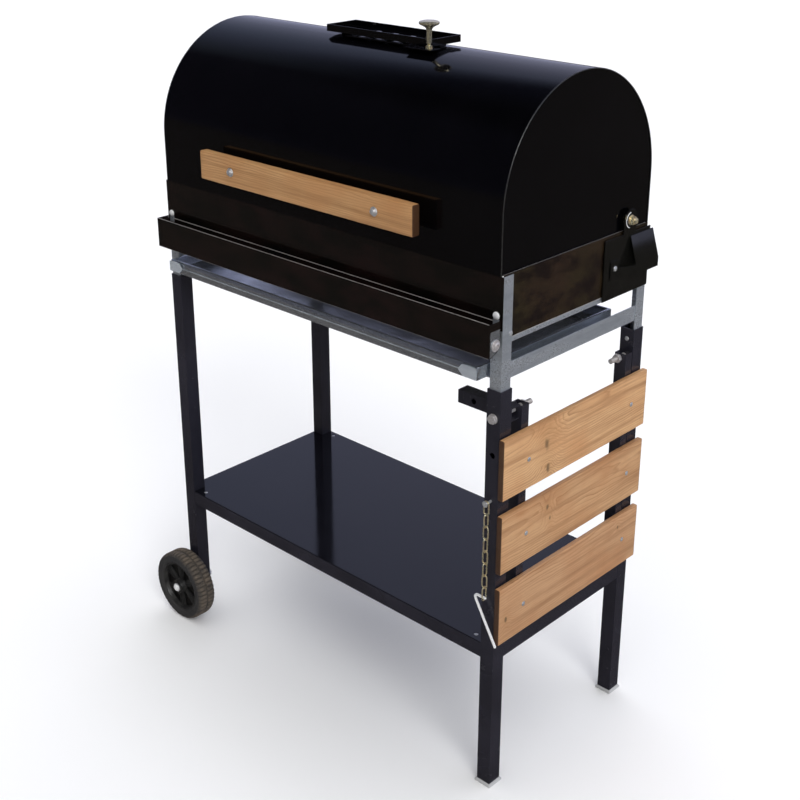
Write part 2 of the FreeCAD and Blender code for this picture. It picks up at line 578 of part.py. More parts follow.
def vent_tray():
    """Make the vent's raised tray, standing on a block at each end, and its two screws."""
    outer = block("vent_outer", ("vent_left", "vent_right"), ("-vent_y", "vent_y"),
                  ("vent_low", "vent_high"))
    room = block("vent_room", ("vent_left + vent_sheet", "vent_right - vent_sheet"),
                 ("vent_sheet - vent_y", "vent_y - vent_sheet"),
                 ("vent_low + vent_sheet", "vent_high + 1"))
    tray = cut("vent_bowl", outer,
               [room] + vent_slots("tray", "slot_first", "vent_low - 1", "vent_low + vent_sheet"))
    crown = "lid_centre + lid_radius"
    pieces, screws = [tray], []
    for end, low in (("left", "vent_left + vent_block_in"),
                     ("right", "vent_right - vent_block_in - vent_block_x")):
        pieces.append(block("vent_block_" + end, (low, low + " + vent_block_x"),
                            ("-vent_block_y", "vent_block_y"), (crown, "vent_low")))
        screws.append(rod("vent_screw_" + end, "Z",
                          (low + " + vent_block_x / 2", "0", "vent_low + vent_sheet"),
                          "vent_screw", "vent_screw_head"))
    sub_part(fuse("vent_tray_on_blocks", pieces), "vent_tray")
    sub_part(group("vent_screw_pair", screws), "vent_screws")


def vent_slider():
    """Make the damper plate under the tray, with a tab at its front corner for the knob."""
    top = "slider_low + slider_sheet"
    plate = block("slider_plate", ("-slider_x", "slider_x"), ("-slider_y", "slider_y"),
                  ("slider_low", top))
    tab = block("slider_tab", ("slider_x - 1", "slider_tab_right"),
                ("slider_tab_front", "slider_tab_rear"), ("slider_low", top))
    whole = fuse("slider_with_tab", [plate, tab])
    slots = vent_slots("slider", "(slot_first + slot_pitch / 2)", "slider_low - 1", top + " + 1")
    sub_part(cut("slider_slotted", whole, slots), "vent_slider")


def vent_knob():
    """Make the mushroom knob with its stem, thin rod and nut."""
    profile = [("0", "0"), ("knob_nut", "0"), ("knob_nut", "knob_nut_top"), ("knob_rod", "knob_nut_top"),
               ("knob_rod", "knob_rod_top"), ("knob_stem", "knob_rod_top + 0.5"),
               ("knob_stem", "knob_neck"), ("knob_stem + 2.5", "knob_neck + 3"),
               ("knob_cap - 3", "knob_rim_low - 3.5"), ("knob_cap", "knob_rim_low"),
               ("knob_cap", "knob_rim_high"), ("knob_cap - 2", "knob_top"), ("0", "knob_top")]
    knob = turned_body("knob_turned", profile)
    place(knob, "knob_x", "knob_y", "slider_low + slider_sheet")
    sub_part(knob, "vent_knob")


# ---- lid hinges ------------------------------------------------------------------------------

def hinge_bracket(side, side_sign):
    """Make the plate on one end of the fire box with the round ear that the lid hangs on."""
    name = "hinge_bracket_" + side
    low, high = mirrored(side_sign, "angle_face_x", "angle_face_x + bracket_sheet")
    plate = block(name + "_plate", (low, high), ("bracket_front", "bracket_rear"),
                  ("bracket_low", "bracket_high"))
    neck = block(name + "_neck", (low, high),
                 ("lid_pivot_y - ear_radius", "lid_pivot_y + ear_radius"),
                 ("bracket_high - 1", "lid_pivot_z"))
    ear = rod(name + "_ear", "X", (low, "lid_pivot_y", "lid_pivot_z"), "ear_radius", "bracket_sheet")
    bore = rod(name + "_bore", "X", ("(%s) - 1" % low, "lid_pivot_y", "lid_pivot_z"), "lid_bolt",
               "bracket_sheet + 2")
    sub_part(cut(name + "_drilled", fuse(name + "_sheet", [plate, neck, ear]), [bore]), name)


def lid_stop(side, side_sign):
    """Make the joggled strap outside one bracket, with the ramp that rises back to the bracket."""
    name = "lid_stop_" + side
    near = "(angle_face_x + bracket_sheet)"
    far = "stop_reach"
    strap = [(near, "stop_tab_front"), (near + " + bracket_sheet", "stop_tab_front"),
             (near + " + bracket_sheet", "stop_tab_rear"), (far, "stop_bend"), (far, "stop_rear"),
             (far + " - bracket_sheet", "stop_rear"), (far + " - bracket_sheet", "stop_bend"),
             (near, "stop_tab_rear")]
    ramp = [(far + " - bracket_sheet", "stop_high - 2"), (far, "stop_high - 2"),
            (far, "stop_high"), (near + " + bracket_sheet", "ramp_top"), (near, "ramp_top"),
            (far + " - bracket_sheet", "stop_high")]
    if side_sign < 0:
        strap = [("-(%s)" % x, y) for x, y in strap]
        ramp = [("-(%s)" % x, z) for x, z in ramp]
    band = outline_body(name + "_band", "XY_Plane", strap, "stop_high - stop_low",
                        ("0", "0", "stop_low"))
    ramp_body = outline_body(name + "_ramp", "XZ_Plane", ramp, "stop_rear - stop_bend",
                             ("0", "stop_rear", "0"))
    tab = block(name + "_tab", mirrored(side_sign, near, near + " + bracket_sheet"),
                ("stop_tab_front", "stop_tab_rear"), ("stop_high - 1", "stop_tab_high"))
    sub_part(fuse(name + "_folded", [band, ramp_body, tab]), name)


def lid_pivots():
    """Make the hinge bolts, each with its inner head, spacer bush, washer and outer nut."""
    bolts = []
    for side, side_sign in SIDES:
        def turned(piece, near, far, radius, shape=rod):
            low, high = mirrored(side_sign, near, far)
            return shape("lid_%s_%s" % (piece, side), "X", (low, "lid_pivot_y", "lid_pivot_z"),
                         radius, "(%s) - (%s)" % (high, low))
        inner_face = "lid_x - lid_end_inset - lid_sheet - side_gap"
        head_end = inner_face + " - lid_bolt_head"
        outer_face = "(angle_face_x + bracket_sheet)"
        nut_face = "(angle_face_x + bracket_sheet + lid_washer_sheet)"
        bolts.append(fuse("lid_bolt_" + side, [
            turned("head", head_end, inner_face, "lid_bolt * nut_share", hex_rod),
            turned("shank", head_end, outer_face + " + lid_bolt_end", "lid_bolt"),
            turned("bush", "lid_x - lid_end_inset + side_gap", "angle_face_x", "lid_bolt * bush_share"),
            turned("washer", outer_face, nut_face, "lid_bolt * washer_share"),
            turned("nut", nut_face, nut_face + " + lid_bolt_nut", "lid_bolt * nut_share", hex_rod)]))
    sub_part(group("lid_bolt_pair", bolts), "lid_pivots")


# ---- side table ------------------------------------------------------------------------------

def table_arm(row, y_low):
    """Make one arm of the folding table, which hangs beside its leg."""
    name = "table_arm_" + row
    spans = (("arm_left", "arm_right"), (y_low, "(%s) + arm_width" % y_low), ("arm_low", "arm_high"))
    tube = square_tube(name, spans, "Z", "arm_wall")
    drill = rod(name + "_drill", "Y", ("pivot_x", "(%s) - 1" % y_low, "pivot_z"),
                "pivot_bolt + running_gap", "arm_width + 2")
    sub_part(cut(name + "_drilled", tube, [drill]), name)


def table_lever():
    """Make the tube across the front arm that swings down and is pinned to the leg."""
    y_low = "(front_arm_y - lever_tube)"
    half = "lever_tube / 2"
    spans = (("lever_left", "lever_right"), (y_low, "front_arm_y"),
             ("pivot_z - " + half, "pivot_z + " + half))
    tube = square_tube("table_lever", spans, "X", "arm_wall")
    drills = [rod("lever_pivot_drill", "Y", ("pivot_x", y_low + " - 1", "pivot_z"),
                  "pivot_bolt + running_gap", "lever_tube + 2"),
              rod("lever_lock_drill", "Y", ("pivot_x - lock_drop", y_low + " - 1", "pivot_z"),
                  "lock_hole", "lever_tube + 2")]
    sub_part(cut("table_lever_drilled", tube, drills), "table_lever")


def table_slats():
    """Make the wooden slats and the screw that holds each to each arm."""
    far = "(arm_right + slat_thick)"
    screws = []
    for number, label in enumerate(("lower", "middle", "upper")[:SLATS]):
        low = "(slat_low + %d * slat_pitch)" % number
        high = "(%s + slat_width)" % low
        edge = "slat_edge"
        points = [("arm_right", low), (far + " - " + edge, low), (far, low + " + " + edge),
                  (far, high + " - " + edge), (far + " - " + edge, high), ("arm_right", high)]
        slat = outline_body("slat_%s_body" % label, "XZ_Plane", points, "2 * slat_y", ("0", "slat_y", "0"))
        sub_part(slat, "slat_" + label)
        for row, y_low in (("front", "front_arm_y"), ("rear", "rear_arm_y")):
            screws.append(rod("slat_screw_%s_%s" % (label, row), "X",
                              (far, y_low + " + arm_width / 2", low + " + slat_width / 2"),
                              "slat_screw", "slat_screw_head"))
    sub_part(group("slat_screw_set", screws), "slat_screws")


def table_pivots():
    """Make the two bolts through the right legs that the table arms turn on."""
    bolts = []
    for row, row_sign, arm_face in (("front", -1, "-front_arm_y - arm_width"), ("rear", 1, "rear_arm_y")):
        def turned(piece, near, far, radius, shape=rod):
            low, high = mirrored(row_sign, near, far)
            return shape("pivot_%s_%s" % (piece, row), "Y", ("pivot_x", low, "pivot_z"), radius,
                         "(%s) - (%s)" % (high, low))
        nut_face = arm_face + " - side_gap"
        bolts.append(fuse("pivot_bolt_" + row, [
            turned("tip", nut_face + " - pivot_bolt_end", "leg_face_y + 1", "pivot_bolt"),
            turned("nut", nut_face + " - pivot_nut", nut_face, "pivot_bolt * nut_share", hex_rod),
            turned("head", "leg_face_y", "leg_face_y + pivot_head", "pivot_bolt * nut_share", hex_rod)]))
    sub_part(group("pivot_bolt_pair", bolts), "table_pivots")


# ---- lock pin --------------------------------------------------------------------------------

def chain_link(number):
    """Make one long link: two half rings joined by two straight wires."""
    name = "link_%d" % number
    bend = "(link_width / 2 - link_wire / 2)"
    straight = "(link_pitch + wire_gap + 2 * link_wire - link_width)"
    top = "(chain_z + stem_room - %d * link_pitch - link_width / 2 + link_wire)" % number
    flat = number % 2 == 0
    pieces = []
    for end, height, start in (("top", top, 0), ("low", "(%s - %s)" % (top, straight), 180)):
        ring = document.addObject("Part::Torus", "%s_%s" % (name, end))
        ring.setExpression("Radius1", cells(bend))
        ring.setExpression("Radius2", cells("link_wire / 2"))
        ring.Angle3 = 180
        spin = FreeCAD.Rotation(FreeCAD.Vector(1, 0, 0), 90)
        flip = FreeCAD.Rotation(FreeCAD.Vector(0, 1, 0), -start)
        turn = FreeCAD.Rotation(FreeCAD.Vector(0, 0, 1), 0 if flat else 90)
        place(ring, "chain_x", "chain_y", height, turn.multiply(flip).multiply(spin))
        pieces.append(ring)
    for side, sign in (("one", -1), ("two", 1)):
        x = "chain_x + %d * %s" % (sign, bend) if flat else "chain_x"
        y = "chain_y" if flat else "chain_y + %d * %s" % (sign, bend)
        pieces.append(rod("%s_%s" % (name, side), "Z", (x, y, "%s - %s" % (top, straight)),
                          "link_wire / 2", straight))
    return fuse(name, pieces)


def lock_chain():
    """Make the chain as a row of links that pass through each other without touching."""
    links = [chain_link(number) for number in range(CHAIN_LINKS)]
    sub_part(group("chain_links", links), "lock_chain")


def lock_pin():
    """Make the bent lock pin: a short arm held by the last link, and a long straight shank."""
    chain_end = "chain_z + stem_room - wire_gap - %d * link_pitch" % CHAIN_LINKS
    hang_z = "(%s + pin_radius + pin_gap)" % chain_end
    arm = rod("pin_arm_rod", "X", ("chain_x - pin_arm", "chain_y", hang_z), "pin_radius", "pin_arm + 5")
    knee = document.addObject("Part::Sphere", "pin_knee")
    knee.setExpression("Radius", cells("pin_radius"))
    place(knee, "chain_x - pin_arm", "chain_y", hang_z)
    run = worth("pin_tip_x - chain_x + pin_arm")
    fall = worth("%s - pin_tip_z" % hang_z)
    lean = math.degrees(math.atan2(run, fall))
    shank = document.addObject("Part::Cylinder", "pin_shank")
    shank.setExpression("Radius", cells("pin_radius"))
    shank.setExpression("Height", cells("sqrt((pin_tip_x - chain_x + pin_arm)^2 + (%s - pin_tip_z)^2)"
                                        % hang_z))
    place(shank, "chain_x - pin_arm", "chain_y", hang_z,
          FreeCAD.Rotation(FreeCAD.Vector(0, 1, 0), 180 - lean))
    sub_part(fuse("pin_bent", [arm, knee, shank]), "lock_pin")


# ---- wheels ----------------------------------------------------------------------------------

def tyre(row, row_sign):
    """Turn one solid rubber tyre with rounded shoulders."""
    near, far = "tyre_near", "tyre_far"
    profile = [("rim_radius", near + " + 4"), ("rim_radius + 6", near), ("wheel_radius - 7", near),
               ("wheel_radius - 2", near + " + 3"), ("wheel_radius", near + " + 8"),
               ("wheel_radius", far + " - 8"), ("wheel_radius - 2", far + " - 3"),
               ("wheel_radius - 7", far), ("rim_radius + 6", far), ("rim_radius", far + " - 4")]
    body = turned_body("tyre_%s_turned" % row, profile)
    face_out = FreeCAD.Rotation(FreeCAD.Vector(1, 0, 0), -90 * row_sign)
    place(body, "wheel_x", "0", "wheel_radius", face_out)
    sub_part(body, "tyre_" + row)


def rim(row, row_sign):
    """Turn one plastic rim with its hub, and sink recesses between the spokes of its outer face."""
    gap = "(axle + running_gap)"
    profile = [(gap, "hub_near"), ("hub_radius", "hub_near"), ("hub_radius", "web_near"),
               ("rim_radius - 6", "web_near"), ("rim_radius - 5", "tyre_near + 6"),
               ("rim_radius", "tyre_near + 4"), ("rim_radius", "tyre_far - 4"),
               ("rim_radius - 5", "tyre_far - 6"), ("rim_radius - 6", "web_far"),
               ("hub_radius", "web_far"), ("hub_radius - 2", "hub_far"), (gap, "hub_far")]
    body = turned_body("rim_%s_turned" % row, profile)
    document.recompute()
    solid_volume = body.Shape.Volume
    near, far = "hub_radius + recess_low", "rim_radius - recess_high"
    recess = outline_sketch(body, "rim_%s_recess" % row, "XY_Plane", [
        (near, "-recess_half_low"), (far, "-recess_half_high"), (far + " + 2", "0"),
        (far, "recess_half_high"), (near, "recess_half_low")])
    recess.setExpression("AttachmentOffset.Base.z", cells("web_far - spoke_relief"))
    pocket = body.newObject("PartDesign::Pocket", "rim_%s_pocket" % row)
    pocket.Profile = recess
    pocket.setExpression("Length", cells("spoke_relief + 1"))
    pocket.Reversed = True
    recess.Visibility = False
    pattern = body.newObject("PartDesign::PolarPattern", "rim_%s_spokes" % row)
    pattern.Originals = [pocket]
    pattern.Axis = (recess, ["N_Axis"])
    pattern.Angle = 360
    pattern.Occurrences = SPOKES
    body.Tip = pattern
    document.recompute()
    if body.Shape.Volume > solid_volume - 1000:
        raise RuntimeError("the recesses of the %s rim cut nothing" % row)
    place(body, "wheel_x", "0", "wheel_radius",
          FreeCAD.Rotation(FreeCAD.Vector(1, 0, 0), -90 * row_sign))
    sub_part(body, "rim_" + row)


def wheel_axles():
    """Make the two axle bolts through the left legs, each with spacer, head and nut."""
    bolts = []
    for row, row_sign in ROWS:
        def turned(piece, near, far, radius, shape=rod):
            low, high = mirrored(row_sign, near, far)
            return shape("axle_%s_%s" % (piece, row), "Y", ("wheel_x", low, "wheel_radius"), radius,
                         "(%s) - (%s)" % (high, low))
        leg_inside = "leg_face_y - leg_tube"
        head_face = "(hub_far + side_gap + axle_washer)"
        bolts.append(fuse("axle_bolt_" + row, [
            turned("shank", leg_inside + " - axle_end", head_face, "axle"),
            turned("spacer", "leg_face_y", "hub_near - side_gap", "axle * bush_share"),
            turned("nut", leg_inside + " - axle_nut", leg_inside, "axle * nut_share", hex_rod),
            turned("washer", "hub_far + side_gap", head_face, "axle * bush_share"),
            turned("head", head_face, head_face + " + axle_head_height", "axle_head")]))
    sub_part(group("axle_bolt_pair", bolts), "wheel_axles")


# ---- screws on the frame ---------------------------------------------------------------------

def frame_screws():
    """Make the remaining screw heads of the frame, and the screw that the chain hangs from."""
    heads = []
    for side, side_sign in SIDES:
        heads += shelf_screws("shelf_screw_" + side, side_sign)
        heads.append(rod("front_bolt_" + side, "Y",
                         ("%d * front_bolt_x" % side_sign,
                          "-angle_face_y - panel_sheet - front_bolt_head", "front_bolt_z"),
                         "front_bolt", "front_bolt_head"))
        low = mirrored(side_sign, "angle_face_x", "angle_face_x + small_screw_head")[0]
        heads.append(rod("end_screw_" + side, "X", (low, "end_screw_y", "end_screw_z"),
                         "small_screw", "small_screw_head"))
        low = mirrored(side_sign, "angle_face_x + 2 * bracket_sheet",
                       "angle_face_x + 2 * bracket_sheet + stop_screw_head")[0]
        heads.append(rod("stop_screw_" + side, "X", (low, "stop_screw_y", "stop_screw_z"),
                         "stop_screw", "stop_screw_head"))
        for row, row_sign in ROWS:
            low = mirrored(row_sign, "leg_face_y - leg_tube - small_screw_head", "leg_face_y - leg_tube")[0]
            heads.append(rod("leg_screw_%s_%s" % (row, side), "Y",
                             ("%d * leg_screw_x" % side_sign, low, "leg_screw_z"),
                             "small_screw", "small_screw_head"))
    stem = rod("chain_stem", "Y", ("chain_x", "chain_y - chain_stem_end", "chain_z"), "stem_radius",
               "-leg_face_y - chain_y + chain_stem_end")
    head = rod("chain_head", "Y", ("chain_x", "chain_y - chain_stem_end - chain_screw_head", "chain_z"),
               "chain_screw", "chain_screw_head")
    heads.append(fuse("chain_screw", [stem, head]))
    sub_part(group("frame_screw_set", heads), "frame_screws")


def build():
    """Make every sub-part of the grill."""
    fill_sheet()
    for side, side_sign in SIDES:
        for row, row_sign in ROWS:
            leg(side, side_sign, row, row_sign)
            leg_angle(side, side_sign, row, row_sign)
        cooking_grate(side, side_sign)
        ash_rail(side, side_sign)
        lid_end(side, side_sign)
        hinge_bracket(side, side_sign)
        lid_stop(side, side_sign)
    foot_caps()
    shelf_rails()
    shelf_plate()
    fire_box_panels()
    ledge("grate_ledge_front", "-end_panel_y", "-end_panel_y + front_ledge_depth")
    ledge("grate_ledge_rear", "end_panel_y - panel_sheet", "rear_ledge_front")
    coal_supports()
    charcoal_grate()
    ash_tray()
    front_flap()
    flap_pivots()
    lid_shell()
    lid_handle()
    vent_tray()
    vent_slider()
    vent_knob()
    lid_pivots()
    table_arm("front", "front_arm_y")
    table_arm("rear", "rear_arm_y")
    table_lever()
    table_slats()
    table_pivots()
    lock_chain()
    lock_pin()
    for row, row_sign in ROWS:
        tyre(row, row_sign)
        rim(row, row_sign)
    wheel_axles()
    frame_screws()
    document.recompute()


def check():
    """Stop if any object failed or any sub-part isn't a valid closed solid."""
    for item in document.Objects:
        if "Invalid" in item.State or "Error" in item.State:
            raise RuntimeError("%s failed: %s" % (item.Name, item.State))
    for item in sub_parts:
        shape = item.Shape
        if shape.isNull() or not shape.isValid() or not shape.Solids:
            raise RuntimeError("%s has no valid solid" % item.Label)


def export():
    """Write each sub-part to its own file."""
    os.makedirs("parts", exist_ok=True)
    for item in sub_parts:
        item.Shape.exportStep("parts/%s.step" % item.Label)
    print("%d sub-parts written" % len(sub_parts))


build()
check()
export()
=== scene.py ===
from math import copysign, cos, pi, radians, sin, sqrt, tan

import bmesh
import bpy
from mathutils import Matrix, Vector, noise


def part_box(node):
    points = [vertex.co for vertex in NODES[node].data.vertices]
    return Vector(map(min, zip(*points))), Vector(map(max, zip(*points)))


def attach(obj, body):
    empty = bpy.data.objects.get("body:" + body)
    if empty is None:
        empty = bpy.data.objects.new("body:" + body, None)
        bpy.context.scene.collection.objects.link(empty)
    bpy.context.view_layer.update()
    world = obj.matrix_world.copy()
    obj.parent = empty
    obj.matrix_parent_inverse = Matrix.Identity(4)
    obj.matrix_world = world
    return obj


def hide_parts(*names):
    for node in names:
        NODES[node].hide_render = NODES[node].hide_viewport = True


# The looks of a barrel-lid trolley grill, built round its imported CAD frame. Materials and lights are
# in metres; shapes are laid out in millimetres, and Shape.mesh turns them into metres.
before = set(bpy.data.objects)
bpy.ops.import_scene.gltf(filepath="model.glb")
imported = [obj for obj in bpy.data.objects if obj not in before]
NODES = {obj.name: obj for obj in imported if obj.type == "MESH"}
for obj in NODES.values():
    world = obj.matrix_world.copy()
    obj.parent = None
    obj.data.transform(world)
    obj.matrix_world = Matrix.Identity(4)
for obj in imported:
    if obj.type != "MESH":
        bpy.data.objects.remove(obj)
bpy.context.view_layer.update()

MM = 0.001
GAP = 0.3
RIM_WEB = 34.0
SHARP_ANGLE = radians(32)
X, Y, Z = AXES = Vector((1, 0, 0)), Vector((0, 1, 0)), Vector((0, 0, 1))
SIDES = (("right", 1), ("left", -1))
KNOT_OVAL = (0.25, 1.0, 0.62)


def halved(corners):
    """Give a box's middle and half of its size."""
    low, high = corners
    return (low + high) / 2, (high - low) / 2


# ---- node trees ----

class Nodes:
    """A node tree under construction."""

    def __init__(self, tree):
        self.tree = tree

    def put(self, socket, value):
        """Give a socket a link, a number or a colour."""
        if isinstance(value, bpy.types.NodeSocket):
            self.tree.links.new(value, socket)
        else:
            socket.default_value = value

    def add(self, kind, inputs, **settings):
        """Add a shader node; inputs hold the value or link for each of its sockets."""
        made = self.tree.nodes.new("ShaderNode" + kind)
        for name, value in settings.items():
            setattr(made, name, value)
        for socket, value in inputs.items():
            self.put(made.inputs[socket], value)
        return made

    def remap(self, value, from_low, from_high, low=0.0, high=1.0, smooth=False):
        """Carry a value from one range to another, held to the ends."""
        made = self.add("MapRange", {
            "Value": value, "From Min": from_low, "From Max": from_high, "To Min": low, "To Max": high},
            interpolation_type="SMOOTHSTEP" if smooth else "LINEAR")
        return made.outputs[0]

    def ramp(self, value, *stops):
        """Give a colour for a value; each stop is a position and a colour."""
        made = self.add("ValToRGB", {0: value})
        colours = made.color_ramp.elements
        for extra in stops[2:]:
            colours.new(0.5)
        for element, (position, colour) in zip(colours, stops):
            element.position = position
            element.color = (*colour, 1)
        return made.outputs[0]

    def blend(self, share, first, second, mode="MIX"):
        """Mix two colours by a share between 0 and 1."""
        made = self.add("Mix", {"Factor": share}, data_type="RGBA", blend_type=mode)
        for number, value in ((6, first), (7, second)):
            self.put(made.inputs[number], (*value, 1) if isinstance(value, tuple) else value)
        return made.outputs[2]

    def wash(self, value, low, high, share, under, over, smooth=False):
        """Lay a colour over another, up to a share, as a value rises from low to high."""
        return self.blend(self.remap(value, low, high, 0.0, share, smooth), under, over)


class Finish(Nodes):
    """A material under construction: a Principled shader and the nodes that feed it."""

    def __init__(self, name, colour, roughness, metallic=0.0, gloss=0.5):
        self.material = bpy.data.materials.new(name)
        self.material.use_nodes = True
        super().__init__(self.material.node_tree)
        self.shader = self.tree.nodes["Principled BSDF"]
        for socket, value in (("Base Color", (*colour, 1)), ("Roughness", roughness),
                ("Metallic", metallic), ("Specular IOR Level", gloss)):
            self.set(socket, value)
        self.place = self.add("TexCoord", {}).outputs["Object"]

    def set(self, socket, value):
        """Give one of the shader's own sockets a number, a colour or a link."""
        self.put(self.shader.inputs[socket], value)

    def done(self, colour, roughness, normal):
        """Link what the shader needs, and give the material."""
        self.set("Base Color", colour)
        self.set("Roughness", roughness)
        self.set("Normal", normal)
        return self.material

    def stretched(self, scale, shift=(0, 0, 0)):
        """Give the object's coordinates, moved and then scaled along each axis."""
        moved = self.add("VectorMath", {0: self.place, 1: shift}, operation="SUBTRACT").outputs[0]
        return self.add("VectorMath", {0: moved, 1: scale}, operation="MULTIPLY").outputs[0]

    def length_of(self, vector):
        """Give the length of a vector."""
        return self.add("VectorMath", {0: vector}, operation="LENGTH").outputs["Value"]

    def noise(self, scale, detail=3.0, roughness=0.5, at=None):
        """Give a noise value between 0 and 1."""
        made = self.add("TexNoise", {"Vector": at or self.place, "Scale": scale, "Detail": detail,
            "Roughness": roughness})
        return made.outputs[0]

    def drawn_noise(self, scale, detail=3.0, roughness=0.5, shift=(0, 0, 0)):
        """Give a noise value with its own scale along each axis."""
        return self.noise(1.0, detail, roughness, self.stretched(scale, shift))

    def maths(self, operation, first, second=0.0):
        """Give the result of one arithmetic step."""
        return self.add("Math", {0: first, 1: second}, operation=operation).outputs[0]

    def bump(self, height, strength, distance, below=None):
        """Raise the surface by a height map; below is a bump that lies under it."""
        inputs = {"Height": height, "Strength": strength, "Distance": distance}
        if below:
            inputs["Normal"] = below
        return self.add("Bump", inputs).outputs[0]


# ---- materials ----

def enamel(name, colour, tint, roughness, sway, grain=1.0, gloss=0.5, clouds=None):
    """Make enamel on swaying thin sheet; clouds is the colour of its soft stains."""
    paint = Finish(name, colour, roughness, gloss=gloss)
    coat = paint.wash(paint.noise(7.0, 4.0), 0.38, 0.7, 1.0, colour, tint)
    if clouds:
        stain = paint.drawn_noise((13.0, 13.0, 26.0), 4.0, 0.6)
        coat = paint.wash(stain, 0.42, 0.64, 1.0, coat, clouds, smooth=True)
    waves = paint.bump(paint.noise(3.2, 1.0), 1.0, sway)
    peel = paint.bump(paint.noise(420.0, 2.0), 0.1 * grain, 0.0003, waves)
    specks = paint.remap(paint.noise(1500.0, 0.0), 0.74, 0.8)
    rubbed = paint.noise(30.0, 6.0, 0.65)
    return paint.done(coat, paint.remap(rubbed, 0.35, 0.75, roughness, roughness * 1.9),
        paint.bump(specks, 0.15 * grain, 0.0002, peel))


def galvanised_steel(name, metallic, smooth, rough):
    """Make zinc-dipped sheet with soft spangles and rolling streaks."""
    metal = Finish(name, (0.6, 0.64, 0.69), rough, metallic)
    shake = metal.add("TexNoise", {"Vector": metal.place, "Scale": 40.0}).outputs[1]
    warped = metal.add("VectorMath", {0: metal.place, 1: shake}, operation="ADD").outputs[0]
    spangle = metal.add("TexVoronoi", {"Vector": warped, "Scale": 95.0, "Randomness": 1.0})
    flake = metal.add("SeparateColor", {0: spangle.outputs["Color"]}).outputs[0]
    streak = metal.drawn_noise((14, 14, 60), 4.0)
    pale = metal.ramp(flake, (0.0, (0.54, 0.59, 0.64)), (0.55, (0.62, 0.66, 0.71)), (1.0, (0.72, 0.76, 0.8)))
    sway = metal.bump(metal.noise(9.0, 2.0), 1.0, 0.0012)
    return metal.done(metal.wash(streak, 0.42, 0.7, 0.6, pale, (0.42, 0.46, 0.5)),
        metal.maths("ADD", metal.remap(flake, 0.0, 1.0, smooth, rough),
        metal.remap(streak, 0.4, 0.7, 0.0, 0.12)), metal.bump(metal.noise(700.0), 0.16, 0.0002, sway))


def plain_metal(name, colour, dark, roughness, metallic, scratch=0.12):
    """Make a bright or plated metal with patchy tone and fine handling marks."""
    metal = Finish(name, colour, roughness, metallic)
    patches = metal.noise(260.0, 4.0, 0.6)
    return metal.done(metal.wash(patches, 0.42, 0.72, 0.8, colour, dark),
        metal.remap(patches, 0.3, 0.75, roughness, roughness * 1.8),
        metal.bump(metal.drawn_noise((900, 2400, 1700), 5.0), scratch, 0.0002))


def grate_metal(name, bare, burnt):
    """Make steel from the fire: grey with brown heat bands and scale."""
    metal = Finish(name, bare, 0.45, 0.85)
    flakes = metal.noise(380.0, 4.0, 0.7)
    toned = metal.wash(metal.noise(11.0, 5.0, 0.6), 0.4, 0.66, 1.0, bare, burnt)
    return metal.done(metal.wash(flakes, 0.55, 0.75, 0.6, toned, (0.05, 0.035, 0.028)),
        metal.remap(flakes, 0.3, 0.75, 0.34, 0.75), metal.bump(flakes, 0.4, 0.0004))


